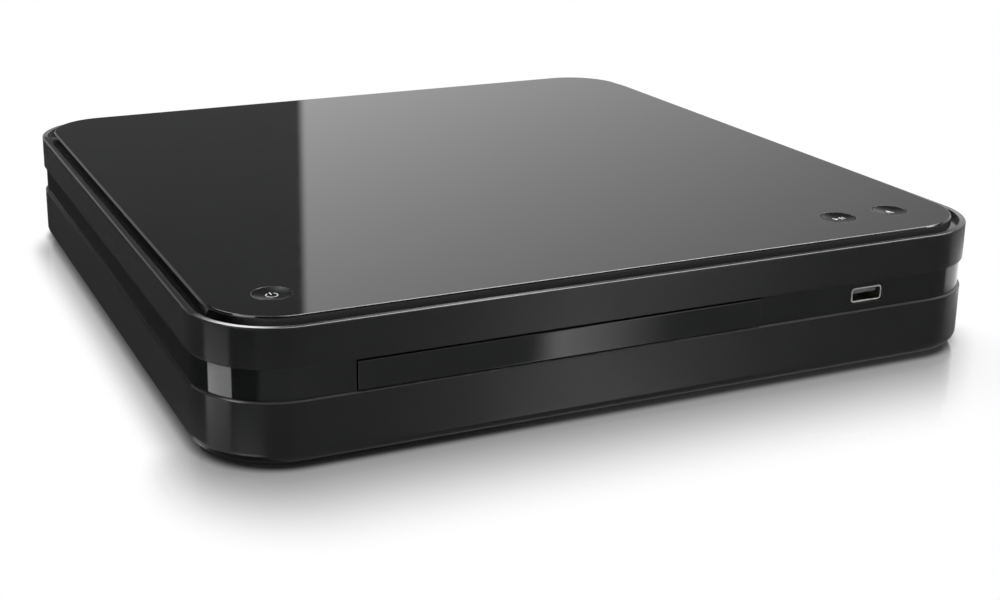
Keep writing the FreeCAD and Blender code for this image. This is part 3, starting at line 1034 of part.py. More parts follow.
holes += [rod("y", (x, "antenna_z"), HOLE_Y, "antenna_socket + 2*panel_hole_gap") for x in ANTENNAS]
holes += [rod("y", (x, "panel_screw_z"), HOLE_Y, "screw_hole") for x in LUGS]
node("rear_panel", cut(panel_box, panel_inside, *holes))
node("rear_panel_screws", group(*[screw("y", (x, "panel_screw_z"), "panel_face", "short_screw_length", -1)
                                  for x in LUGS]))
for label, x in SCARTS.items():
    face = "panel_face + scart_out"
    outer = block(about(x, "scart_width"), (f"{face} - scart_depth", face),
                  ("board_top", "board_top + scart_height"))
    hollow = cut(block(about(x, "scart_inner_width"), (f"{face} - scart_cavity", f"{face} + 1"),
                       about("scart_z", "scart_inner_height")),
                 block(about(x, "scart_block_width"), (f"{face} - scart_cavity", f"{face} - 0.8"),
                       about("scart_z", "scart_block_height")))
    node(label, cut(outer, hollow))
AUDIO_FACE = "panel_face + socket_out"
audio_parts = [block(grown(("audio_x", "audio_x + 2*audio_pitch"), "audio_barrel/2 + 1"),
                     ("panel_back - audio_block_depth", "panel_back"),
                     ("board_top", "board_top + audio_block_height"))]
audio_parts += [rod("y", (x, "audio_z"), ("panel_back - 1", AUDIO_FACE), "audio_barrel") for x in AUDIO]
node("audio_sockets", cut(fuse(*audio_parts), *[rod("y", (x, "audio_z"), ("panel_back", f"{AUDIO_FACE} + 1"),
                                                    "audio_bore")
                                                for x in AUDIO]))
D_FACE = "panel_face + digital_out"
d_shell = block(about("digital_x", "digital_width"), (f"{D_FACE} - digital_depth", D_FACE),
                about("digital_z", "digital_height"))
d_hollow = block(grown(about("digital_x", "digital_width"), "-digital_wall"),
                 (f"{D_FACE} - digital_depth + 2", f"{D_FACE} + 1"),
                 grown(about("digital_z", "digital_height"), "-digital_wall"))
d_tongue = block(about("digital_x", "digital_tongue_width"),
                 (f"{D_FACE} - digital_depth + 1", f"{D_FACE} - 1.5"),
                 about("digital_z", "digital_tongue"))
node("digital_socket", fuse(cut(d_shell, d_hollow), d_tongue))
M_FACE = "panel_face + mains_out"
m_body = block(about("mains_x", "mains_width"), (f"{M_FACE} - mains_depth", M_FACE),
               ("board_top", "board_top + mains_height"))
m_sides = [f"mains_x {sign} mains_spacing/2" for sign in "-+"]
m_hollow = [rod("y", (x, "mains_z"), (f"{M_FACE} - mains_cavity", f"{M_FACE} + 1"), "mains_lobe")
            for x in m_sides]
m_hollow.append(block((m_sides[0], m_sides[1]), (f"{M_FACE} - mains_cavity", f"{M_FACE} + 1"),
                      about("mains_z", "mains_lobe*0.7")))
m_pins = [rod("y", (x, "mains_z"), (f"{M_FACE} - mains_cavity - 1", f"{M_FACE} - 2"), "mains_pin")
          for x in m_sides]
node("mains_inlet", fuse(cut(m_body, *m_hollow), *m_pins))
TUNER_Y = ("panel_back - tuner_depth", "panel_back")
node("tuner", block(about("tuner_x", "tuner_width"), TUNER_Y, ("board_top", "board_top + tuner_height")))
A_SPAN = ("panel_back", AUDIO_FACE)
in_x, out_x = ANTENNAS
in_tube = cut(rod("y", (in_x, "antenna_z"), A_SPAN, "antenna_socket"),
              rod("y", (in_x, "antenna_z"), ("panel_back + 1.5", f"{AUDIO_FACE} + 1"), "antenna_bore"))
in_contact = rod("y", (in_x, "antenna_z"), ("panel_back + 1", f"{AUDIO_FACE} - 1"), "antenna_contact")
node("antenna_input", cut(fuse(in_tube, in_contact),
                          rod("y", (in_x, "antenna_z"), ("panel_back + 2", f"{AUDIO_FACE} + 1"),
                              "antenna_pin_hole")))
out_base = rod("y", (out_x, "antenna_z"), ("panel_back", "panel_face + 1"), "antenna_socket")
out_tube = cut(rod("y", (out_x, "antenna_z"), A_SPAN, "antenna_plug"),
               rod("y", (out_x, "antenna_z"), ("panel_face + 1", f"{AUDIO_FACE} + 1"), "antenna_plug_bore"))
out_pin = rod("y", (out_x, "antenna_z"), ("panel_face", f"{AUDIO_FACE} - 0.5"), "antenna_pin")
node("antenna_output", fuse(out_base, out_tube, out_pin))

# Every object must be sound before anything is written.
doc.recompute()
for item in doc.Objects:
    if "Invalid" in item.State or "Error" in item.State:
        raise RuntimeError(f"{item.Name} ({item.Label}) did not rebuild: {item.State}")
for item in NODES:
    if item.Shape.isNull() or not item.Shape.isValid():
        raise RuntimeError(f"{item.Label} has no sound shape")
os.makedirs("parts", exist_ok=True)
for item in NODES:
    item.Shape.exportStep(f"parts/{item.Label}.step")
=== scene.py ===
"""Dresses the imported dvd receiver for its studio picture. Lengths are in metres."""

import json
import logging
import math
from dataclasses import dataclass
from enum import Enum
from typing import Iterable, Optional, Sequence, Union

import bmesh
import bpy
from mathutils import Matrix, Vector


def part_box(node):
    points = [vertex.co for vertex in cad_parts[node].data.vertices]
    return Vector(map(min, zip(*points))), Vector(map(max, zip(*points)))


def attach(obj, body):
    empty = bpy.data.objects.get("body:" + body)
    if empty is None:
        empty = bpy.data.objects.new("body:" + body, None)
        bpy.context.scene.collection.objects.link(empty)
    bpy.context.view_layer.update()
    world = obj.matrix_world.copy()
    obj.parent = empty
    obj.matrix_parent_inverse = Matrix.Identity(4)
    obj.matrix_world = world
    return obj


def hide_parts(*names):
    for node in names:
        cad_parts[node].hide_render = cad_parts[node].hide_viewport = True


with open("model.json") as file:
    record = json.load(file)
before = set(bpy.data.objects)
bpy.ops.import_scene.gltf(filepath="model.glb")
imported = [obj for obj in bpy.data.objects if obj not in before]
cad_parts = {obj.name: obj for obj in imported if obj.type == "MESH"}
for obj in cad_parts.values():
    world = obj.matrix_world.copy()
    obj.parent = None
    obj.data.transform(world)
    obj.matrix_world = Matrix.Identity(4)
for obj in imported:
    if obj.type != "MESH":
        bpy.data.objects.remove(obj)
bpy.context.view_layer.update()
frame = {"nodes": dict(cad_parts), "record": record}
LOG = logging.getLogger("dvd_receiver")
MM = 0.001
BOARD_SCREW = 7.5 * MM
MERGE = 0.001 * MM

Colour = tuple[float, float, float]
Point = tuple[float, float, float]
Pair = tuple[float, float]
Socket = bpy.types.NodeSocket
Outputs = bpy.types.NodeOutputs
Feed = Union[float, int, tuple, Socket]


class Graph:
    """A shader node tree with short calls for adding and joining nodes."""

    def __init__(self, tree: bpy.types.NodeTree) -> None:
        """Takes the tree that the nodes go into."""
        self.tree = tree

    def feed(self, socket: Socket, value: Feed) -> None:
        """Links a socket, or sets a plain value on it.

        Args:
            socket: The input that is fed.
            value: Another node's output, or a number, colour or vector.
        """
        if isinstance(value, Socket):
            self.tree.links.new(value, socket)
        else:
            socket.default_value = value

    def add(self, kind: str, inputs: Optional[dict] = None, **settings: object) -> bpy.types.Node:
        """Adds one node.

        Args:
            kind: Blender's name of the node type.
            inputs: What feeds each input, by its name or number.
            settings: The node's own properties.

        Returns:
            The new node.
        """
        node = self.tree.nodes.new(kind)
        for key, value in settings.items():
            setattr(node, key, value)
        for key, value in (inputs or {}).items():
            self.feed(node.inputs[key], value)
        return node

    def math(self, operation: str, *values: Feed) -> Socket:
        """Adds a Math node."""
        return self.add("ShaderNodeMath", dict(enumerate(values)), operation=operation).outputs[0]

    def vector(self, operation: str, *values: Feed) -> Socket:
        """Adds a Vector Math node."""
        return self.add("ShaderNodeVectorMath", dict(enumerate(values)), operation=operation).outputs[0]

    def axes(self, value: Feed) -> Outputs:
        """Parts a vector into its X, Y and Z."""
        return self.add("ShaderNodeSeparateXYZ", {0: value}).outputs

    def blend(self, factor: Feed, first: Feed, second: Feed) -> Socket:
        """Mixes two numbers by the share of the second."""
        return self.add("ShaderNodeMix", {0: factor, 2: first, 3: second}).outputs[0]

    def length(self, value: Feed) -> Socket:
        """Gives a vector's length."""
        return self.add("ShaderNodeVectorMath", {0: value}, operation="LENGTH").outputs["Value"]

    def span(self, value: Feed, low: float, high: float, to_low: float = 0.0, to_high: float = 1.0,
             smooth: bool = False) -> Socket:
        """Maps a value from one range to another, clamped.

        Args:
            value: The value that is mapped.
            low: Start of the range it comes in.
            high: End of the range it comes in.
            to_low: What the start becomes.
            to_high: What the end becomes.
            smooth: Eases both ends.

        Returns:
            The mapped value's socket.
        """
        node = self.add("ShaderNodeMapRange", {0: value, 1: low, 2: high, 3: to_low, 4: to_high})
        node.interpolation_type = "SMOOTHSTEP" if smooth else "LINEAR"
        return node.outputs[0]

    def pulse(self, value: Feed, start: float, end: float, soft: float) -> Socket:
        """Gives 1 between two values and 0 outside them.

        Args:
            value: The value that is tested.
            start: Where it rises.
            end: Where it falls.
            soft: Width of each slope.

        Returns:
            The pulse's socket.
        """
        rise = self.span(value, start - soft / 2, start + soft / 2, smooth=True)
        fall = self.span(value, end + soft / 2, end - soft / 2, smooth=True)
        return self.math("MULTIPLY", rise, fall)

    def mix(self, factor: Feed, first: Feed, second: Feed) -> Socket:
        """Mixes two colours."""
        node = self.add("ShaderNodeMix", {0: factor, 6: first, 7: second}, data_type="RGBA")
        return node.outputs[2]

    def noise(self, vector: Feed, scale: Feed, detail: float = 2.0, distortion: float = 0.0) -> Socket:
        """Adds a noise texture.

        Args:
            vector: Where it is read.
            scale: Features to the metre.
            detail: Octaves.
            distortion: How far it is warped.

        Returns:
            The noise value's socket.
        """
        node = self.add("ShaderNodeTexNoise", {"Vector": vector, "Scale": scale, "Detail": detail,
                                               "Distortion": distortion})
        return node.outputs[0]


class Effect(Enum):
    """The surface effects that more than one finish shares."""

    MOULD = "mould_grain"
    EDGES = "soft_edges"
    HANDLING = "handling_marks"
    ROLLED = "rolled_metal"


class Effects:
    """Builds each shared effect's node group once and places it in materials."""

    RUBBED = 160.0
    RUBBED_FROM = (0.42, 0.62)
    FACING = (0.99, 0.8)
    SMEARED = (0.38, 0.68)
    SPECKS = 420.0
    SPECK_EDGE = (0.10, 0.04)
    SPARSE = 60.0
    SPARSE_FROM = (0.58, 0.68)
    PATCHES = 90.0
    LINE_SHARE = 0.6
    PATCH_SHARE = 0.4
    NOISE = (0.3, 0.7)
    SOCKETS = {
        Effect.MOULD: (("Vector", "Grain", "Cloud"), ("Height", "Tone")),
        Effect.EDGES: (("Vector", "Radius"), ("Normal", "Edge")),
        Effect.HANDLING: (("Vector", "Scale"), ("Smear", "Dust")),
        Effect.ROLLED: (("Vector", "Stretch"), ("Height", "Tone")),
    }

    @classmethod
    def place(cls, graph: Graph, effect: Effect, **values: Feed) -> bpy.types.Node:
        """Puts an effect's group into a material."""
        return graph.add("ShaderNodeGroup", values, node_tree=cls.group(effect))

    @classmethod
    def group(cls, effect: Effect) -> bpy.types.NodeTree:
        """Finds or builds an effect's node group.

        Args:
            effect: The effect that is wanted.

        Returns:
            Its node group.
        """
        known = bpy.data.node_groups.get(effect.value)
        if known:
            return known
        tree = bpy.data.node_groups.new(effect.value, "ShaderNodeTree")
        vectors = ("Vector", "Stretch", "Normal")
        for direction, names in zip(("INPUT", "OUTPUT"), cls.SOCKETS[effect]):
            for name in names:
                kind = "NodeSocketVector" if name in vectors else "NodeSocketFloat"
                tree.interface.new_socket(name=name, in_out=direction, socket_type=kind)
        graph = Graph(tree)
        given = graph.add("NodeGroupInput").outputs
        wanted = graph.add("NodeGroupOutput").inputs
        makers = {Effect.MOULD: cls._mould, Effect.EDGES: cls._edges, Effect.HANDLING: cls._handling,
                  Effect.ROLLED: cls._rolled}
        for name, socket in makers[effect](graph, given).items():
            graph.feed(wanted[name], socket)
        return tree

    @staticmethod
    def _mould(graph: Graph, given: Outputs) -> dict:
        """Makes the spark-eroded grain of a mould and slow changes of tone.

        Args:
            graph: The group's nodes.
            given: The group's inputs.

        Returns:
            Sockets for the group's outputs.
        """
        fine = graph.noise(given["Vector"], given["Grain"], 2.0)
        cloud = graph.noise(given["Vector"], given["Cloud"], 4.0, 0.4)
        return {"Height": fine, "Tone": graph.span(cloud, *Effects.NOISE)}

    @staticmethod
    def _edges(graph: Graph, given: Outputs) -> dict:
        """Rounds sharp edges in the shading and finds broken stretches of them, which carry edge wear, and
        on the band a painted highlight.

        Args:
            graph: The group's nodes.
            given: The group's inputs.

        Returns:
            Sockets for the group's outputs.
        """
        bevel = graph.add("ShaderNodeBevel", {"Radius": given["Radius"]}, samples=12)
        flat = graph.add("ShaderNodeNewGeometry").outputs["Normal"]
        dot = graph.add("ShaderNodeVectorMath", {0: bevel.outputs[0], 1: flat}, operation="DOT_PRODUCT")
        edge = graph.span(dot.outputs["Value"], *Effects.FACING)
        edge_breakup = graph.span(graph.noise(given["Vector"], Effects.RUBBED, 5.0), *Effects.RUBBED_FROM)
        return {"Normal": bevel.outputs[0], "Edge": graph.math("MULTIPLY", edge, edge_breakup)}

    @staticmethod
    def _handling(graph: Graph, given: Outputs) -> dict:
        """Makes wiped smears and scattered specks of dust.

        Args:
            graph: The group's nodes.
            given: The group's inputs.

        Returns:
            Sockets for the group's outputs.
        """
        smear = graph.noise(given["Vector"], given["Scale"], 6.0, 1.1)
        specks = graph.add("ShaderNodeTexVoronoi", {"Vector": given["Vector"], "Scale": Effects.SPECKS})
        near = graph.span(specks.outputs["Distance"], *Effects.SPECK_EDGE)
        sparse = graph.span(graph.noise(given["Vector"], Effects.SPARSE, 3.0), *Effects.SPARSE_FROM)
        return {"Smear": graph.span(smear, *Effects.SMEARED), "Dust": graph.math("MULTIPLY", near, sparse)}

    @staticmethod
    def _rolled(graph: Graph, given: Outputs) -> dict:
        """Makes the drawn-out lines that rolling or brushing leaves in metal.

        Args:
            graph: The group's nodes.
            given: The group's inputs.

        Returns:
            Sockets for the group's outputs.
        """
        drawn = graph.vector("MULTIPLY", given["Vector"], given["Stretch"])
        lines = graph.noise(drawn, 1.0, 5.0)
        patches = graph.noise(given["Vector"], Effects.PATCHES, 3.0)
        patched = graph.math("MULTIPLY", patches, Effects.PATCH_SHARE)
        return {"Height": lines, "Tone": graph.math("MULTIPLY_ADD", lines, Effects.LINE_SHARE, patched)}


@dataclass(frozen=True)
class Finish:
    """A moulded plastic or rubber surface.

    The other finishes change how the colour, roughness and height are painted.
    """

    name: str
    colour: Colour
    roughness: float
    spread: float = 0.06
    tone: float = 0.18
    grain: float = 2600.0
    depth: float = 0.004 * MM
    rounding: float = 0.25 * MM
    # Edge colour and its share: real edge wear, and on the band a painted highlight.
    wear: float = 0.12
    worn: Colour = (0.16, 0.16, 0.165)
    dust: float = 0.04
    metallic: float = 0.0
    ior: float = 1.5
    sheen: float = 0.0
    cloud: float = 38.0
    smears: float = 24.0
    dust_colour: tuple = (0.45, 0.44, 0.42, 1.0)

    def shade(self, amount: float) -> tuple:
        """Gives the finish's colour, lighter or darker."""
        return tuple(min(1.0, c * amount) for c in self.colour) + (1.0,)

    def paint(self, graph: Graph, where: Socket) -> tuple:
        """Paints the surface.

        Args:
            graph: The material's nodes.
            where: Object coordinates.

        Returns:
            Sockets of the colour, the roughness and the height.
        """
        mould = Effects.place(graph, Effect.MOULD, Vector=where, Grain=self.grain, Cloud=self.cloud)
        marks = Effects.place(graph, Effect.HANDLING, Vector=where, Scale=self.smears)
        colour = graph.mix(mould.outputs["Tone"], self.shade(1 - self.tone), self.shade(1 + self.tone))
        dusty = graph.math("MULTIPLY", marks.outputs["Dust"], self.dust)
        colour = graph.mix(dusty, colour, self.dust_colour)
        rough = graph.span(marks.outputs["Smear"], 0.0, 1.0, self.roughness - self.spread,
                           self.roughness + self.spread)
        return colour, rough, mould.outputs["Height"]

    def material(self) -> bpy.types.Material:
        """Finds or builds the finish's material.

        Returns:
            The material.
        """
        known = bpy.data.materials.get(self.name)
        if known:
            return known
        made = bpy.data.materials.new(self.name)
        made.use_nodes = True
        made.node_tree.nodes.clear()
        graph = Graph(made.node_tree)
        where = graph.add("ShaderNodeTexCoord").outputs["Object"]
        colour, rough, height = self.paint(graph, where)
        edges = Effects.place(graph, Effect.EDGES, Vector=where, Radius=self.radius(graph, where))
        # Edge mask: real wear on most finishes; the band's share of 0.9 paints pale lines along its seams
        # and edges, a painted highlight.
        worn = graph.math("MULTIPLY", edges.outputs["Edge"], self.wear)
        colour = graph.mix(worn, colour, self.worn + (1.0,))
        normal = self.bend(graph, where, edges.outputs["Normal"])
        bump = graph.add("ShaderNodeBump", {"Height": height, "Distance": self.depth, "Normal": normal})
        surface = graph.add("ShaderNodeBsdfPrincipled", {"Base Color": colour, "Roughness": rough,
                                                         "Metallic": self.metallic, "IOR": self.ior,
                                                         "Normal": bump.outputs[0]})
        surface.inputs["Sheen Weight"].default_value = self.sheen
        self.adjust(surface)
        graph.add("ShaderNodeOutputMaterial", {"Surface": surface.outputs[0]})
        made.diffuse_color = self.shade(1.0)
        return made

    def radius(self, graph: Graph, where: Socket) -> Feed:
        """Gives the rounding of sharp edges, the same all over."""
        return self.rounding

    def bend(self, graph: Graph, where: Socket, normal: Socket) -> Socket:
        """Gives the normal that the grain is laid on, as it comes."""
        return normal

    def adjust(self, surface: bpy.types.Node) -> None:
        """Sets what only this finish needs on the shader."""


@dataclass(frozen=True)
class LippedFinish(Finish):
    """Moulded plastic whose top lip is rounded more than its other edges and crowned outwards."""

    lip_level: float = 45.9 * MM
    lip_ease: float = 0.2 * MM
    lip_rounding: float = 0.6 * MM
    lean: float = 0.23
    dish: float = 0.25
    corner: Point = (0.12, 0.12, 1.0)
    ledge: Pair = (22.45 * MM, 22.9 * MM)
    # Colour of the painted highlight line along the front of the lower ledge.
    ledge_tone: Colour = (0.07, 0.07, 0.07)
    ledge_reach: float = 0.3 * MM
    ledge_soft: float = 0.1 * MM
    ledge_rounding: float = 0.15
    ledge_upright: float = 0.1
    front: Pair = (-125.0 * MM, -140.0 * MM)
    side_turn: Pair = (-0.96, -0.995)
    side_roughness: float = 0.12

    def past(self, graph: Graph, where: Socket) -> Socket:
        """Finds how far a point lies past the centres of the four rounded corners."""
        beyond = graph.vector("SUBTRACT", graph.vector("ABSOLUTE", where), self.corner)
        return graph.vector("MULTIPLY", graph.vector("MAXIMUM", beyond, (0, 0, 0)),
                            graph.vector("SIGN", where))

    def side(self, graph: Graph, where: Socket) -> Socket:
        """Finds the straight left-hand side, where the lip is flat and polished."""
        out = graph.vector("NORMALIZE", self.past(graph, where))
        return graph.span(graph.axes(out)["X"], *self.side_turn)

    def paint(self, graph: Graph, where: Socket) -> tuple:
        """Paints the plastic with a paler line along the front of the lower ledge, a painted highlight, and
        a smoother side lip.

        Args:
            graph: The material's nodes.
            where: Object coordinates.

        Returns:
            Sockets of the colour, the roughness and the height.
        """
        colour, rough, height = super().paint(graph, where)
        level = graph.axes(where)["Z"]
        # Painted highlight: a paler line along the top edge of the lower ledge, on the front only.
        line = graph.pulse(level, *self.ledge, self.ledge_soft)
        front = graph.span(graph.axes(where)["Y"], *self.front)
        colour = graph.mix(graph.math("MULTIPLY", line, front), colour, self.ledge_tone + (1.0,))
        lip = graph.math("MULTIPLY", self.side(graph, where),
                         graph.math("GREATER_THAN", level, self.lip_level))
        rough = graph.blend(lip, rough, self.side_roughness)
        return colour, rough, height

    def radius(self, graph: Graph, where: Socket) -> Feed:
        """Gives the rounding of sharp edges, larger above the lip's level and less along the side's ledge.

        Args:
            graph: The material's nodes.
            where: Object coordinates.

        Returns:
            The radius's socket.
        """
        height = graph.axes(where)["Z"]
        low, high = self.ledge
        ledge = graph.pulse(height, low - self.ledge_reach, high + self.ledge_reach, self.ledge_soft)
        sharp = graph.math("MULTIPLY", ledge, self.side(graph, where))
        radius = graph.span(height, self.lip_level, self.lip_level + self.lip_ease, self.rounding,
                            self.lip_rounding)
        return graph.math("MULTIPLY", radius, graph.span(sharp, 0.0, 1.0, 1.0, self.ledge_rounding))

    def bend(self, graph: Graph, where: Socket, normal: Socket) -> Socket:
        """Leans upward normals away from the middle, as a crowned lip does, or in along the side's ledge.

        Args:
            graph: The material's nodes.
            where: Object coordinates.
            normal: The normal so far.

        Returns:
            The leaning normal's socket.
        """
        out = graph.vector("NORMALIZE", self.past(graph, where))
        up = graph.axes(normal)["Z"]
        crowned = graph.math("SUBTRACT", 1.0, self.side(graph, where))
        share = graph.math("MULTIPLY", graph.span(up, 0.0, 1.0, 0.0, self.lean), crowned)
        level = graph.axes(where)["Z"]
        ledge = graph.math("MULTIPLY", self.side(graph, where),
                           graph.math("LESS_THAN", level, self.lip_level))
        dished = graph.math("MULTIPLY", graph.span(up, 0.0, 1.0, 0.0, self.dish), ledge)
        share = graph.math("SUBTRACT", share, dished)
        height = graph.span(ledge, 0.0, 1.0, 1.0, self.ledge_upright)
        upright = graph.add("ShaderNodeCombineXYZ", {0: 1.0, 1: 1.0, 2: height})
        normal = graph.vector("NORMALIZE", graph.vector("MULTIPLY", normal, upright.outputs[0]))
        lean = graph.add("ShaderNodeVectorMath", {0: out, "Scale": share}, operation="SCALE").outputs[0]
        return graph.vector("NORMALIZE", graph.vector("ADD", normal, lean))


@dataclass(frozen=True)
class KeyFinish(Finish):
    """Gloss plastic of the pressed keys, whose shallow dished tops lean towards the front."""

    flatten: Point = (0.35, 0.35, 1.0)
    lean: Point = (0.0, -0.10, 0.0)

    def bend(self, graph: Graph, where: Socket, normal: Socket) -> Socket:
        """Flattens the dish in the shading and leans it towards the front."""
        shallow = graph.vector("MULTIPLY", normal, self.flatten)
        return graph.vector("NORMALIZE", graph.vector("ADD", shallow, self.lean))


@dataclass(frozen=True)
class SheetFinish(Finish):
    """Polished sheet whose front side below the rounded edge is painted a pale matt grey, a painted light.
    """

    side_level: float = 48.5 * MM
    side_ease: float = 0.2 * MM
    front: Pair = (-134.0 * MM, -142.0 * MM)
    # Colour of the painted light on the front side.
    side_tone: Colour = (0.075, 0.075, 0.075)
    side_roughness: float = 0.45
    undercut: float = -0.35

    def paint(self, graph: Graph, where: Socket) -> tuple:
        """Paints the polished face, and the front side paler as painted light.

        Args:
            graph: The material's nodes.
            where: Object coordinates.

        Returns:
            Sockets of the colour, the roughness and the height.
        """
        colour, rough, height = super().paint(graph, where)
        low, front = self.parts(graph, where)
        # Painted light: the front side below the rounded edge is painted paler than the other sides.
        painted_light_side = graph.math("MULTIPLY", low, front)
        colour = graph.mix(painted_light_side, colour, self.side_tone + (1.0,))
        rough = graph.blend(painted_light_side, rough, self.side_roughness)
        return colour, rough, height

    def parts(self, graph: Graph, where: Socket) -> tuple:
        """Finds the sheet's sides and its front.

        Args:
            graph: The material's nodes.
            where: Object coordinates.

        Returns:
            Masks of all below the rounded edge and of all along the front.
        """
        axes = graph.axes(where)
        low = graph.span(axes["Z"], self.side_level, self.side_level - self.side_ease)
        return low, graph.span(axes["Y"], *self.front)

    def bend(self, graph: Graph, where: Socket, normal: Socket) -> Socket:
        """Turns the normals of all sides but the front downwards, as an undercut does.

        Args:
            graph: The material's nodes.
            where: Object coordinates.
            normal: The normal so far.

        Returns:
            The turned normal.
        """
        low, front = self.parts(graph, where)
        amount = graph.math("MULTIPLY", low, graph.math("SUBTRACT", 1.0, front))
        turn = graph.add("ShaderNodeCombineXYZ",
                         {2: graph.math("MULTIPLY", amount, self.undercut)}).outputs[0]
        return graph.vector("NORMALIZE", graph.vector("ADD", normal, turn))


@dataclass(frozen=True)
class MetalFinish(Finish):
    """Rolled, drawn or plated metal."""

    metallic: float = 1.0
    stretch: Point = (60.0, 2600.0, 2600.0)
    worn: Colour = (0.8, 0.8, 0.8)
    dust: float = 0.0

    def paint(self, graph: Graph, where: Socket) -> tuple:
        """Paints the metal with its drawn lines.

        Args:
            graph: The material's nodes.
            where: Object coordinates.

        Returns:
            Sockets of the colour, the roughness and the height.
        """
        rolled = Effects.place(graph, Effect.ROLLED, Vector=where, Stretch=self.stretch)
        tone = rolled.outputs["Tone"]
        share = graph.span(tone, *Effects.NOISE)
        colour = graph.mix(share, self.shade(1 - self.tone), self.shade(1 + self.tone))
        rough = graph.span(tone, *Effects.NOISE, self.roughness - self.spread, self.roughness + self.spread)
        return colour, rough, rolled.outputs["Height"]


@dataclass(frozen=True)
class BoardFinish(Finish):
    """Printed circuit board with solder mask, tracks and tinned pads."""

    track: Colour = (0.035, 0.16, 0.06)
    pad: Colour = (0.62, 0.6, 0.52)
    patches: float = 75.0
    holes: float = 210.0
    pitch: float = 0.8 * MM
    track_edge: Pair = (0.42 * MM, 0.34 * MM)
    pad_edge: Pair = (0.17, 0.13)
    weave: float = 1800.0
    clouding: float = 30.0
    shades: Pair = (0.8, 1.15)

    def paint(self, graph: Graph, where: Socket) -> tuple:
        """Paints the mask with tracks running both ways in patches.

        Args:
            graph: The material's nodes.
            where: Object coordinates.

        Returns:
            Sockets of the colour, the roughness and the height.
        """
        axes = graph.axes(where)
        patch = graph.add("ShaderNodeTexVoronoi", {"Vector": where, "Scale": self.patches})
        pick = graph.math("GREATER_THAN", graph.add("ShaderNodeSeparateColor",
                                                    {0: patch.outputs["Color"]}).outputs[0], 0.5)
        across = graph.math("PINGPONG", axes["X"], self.pitch)
        along = graph.math("PINGPONG", axes["Y"], self.pitch)
        turn = graph.blend(pick, across, along)
        track = graph.span(turn, *self.track_edge)
        holes = graph.add("ShaderNodeTexVoronoi", {"Vector": where, "Scale": self.holes})
        pads = graph.span(holes.outputs["Distance"], *self.pad_edge)
        mould = Effects.place(graph, Effect.MOULD, Vector=where, Grain=self.weave, Cloud=self.clouding)
        colour = graph.mix(mould.outputs["Tone"], *map(self.shade, self.shades))
        colour = graph.mix(track, colour, self.track + (1.0,))
        colour = graph.mix(pads, colour, self.pad + (1.0,))
        rough = graph.span(mould.outputs["Tone"], 0.0, 1.0, self.roughness - self.spread,
                           self.roughness + self.spread)
        return colour, rough, graph.math("MAXIMUM", track, pads)


@dataclass(frozen=True)
class StripedFinish(Finish):
    """Plastic with straight stripes, as on a flat cable or a sleeve's marked side."""

    stripe: Colour = (0.3, 0.3, 0.3)
    pitch: float = 1.0 * MM
    width: float = 0.35
    edge_parts: Pair = (2, 2.6)
    axis: str = "X"

    def paint(self, graph: Graph, where: Socket) -> tuple:
        """Paints the stripes over the plain plastic.

        Args:
            graph: The material's nodes.
            where: Object coordinates.

        Returns:
            Sockets of the colour, the roughness and the height.
        """
        colour, rough, height = super().paint(graph, where)
        place = graph.axes(where)[self.axis]
        wave = graph.math("PINGPONG", place, self.pitch / 2)
        band = graph.span(wave, *(self.pitch * self.width / part for part in self.edge_parts))
        return graph.mix(band, colour, self.stripe + (1.0,)), rough, graph.math("ADD", height, band)


@dataclass(frozen=True)
class ClearFinish(Finish):
    """Clear moulded optics."""

    clear: float = 0.85

    def adjust(self, surface: bpy.types.Node) -> None:
        """Lets light through the piece."""
        surface.inputs["Transmission Weight"].default_value = self.clear


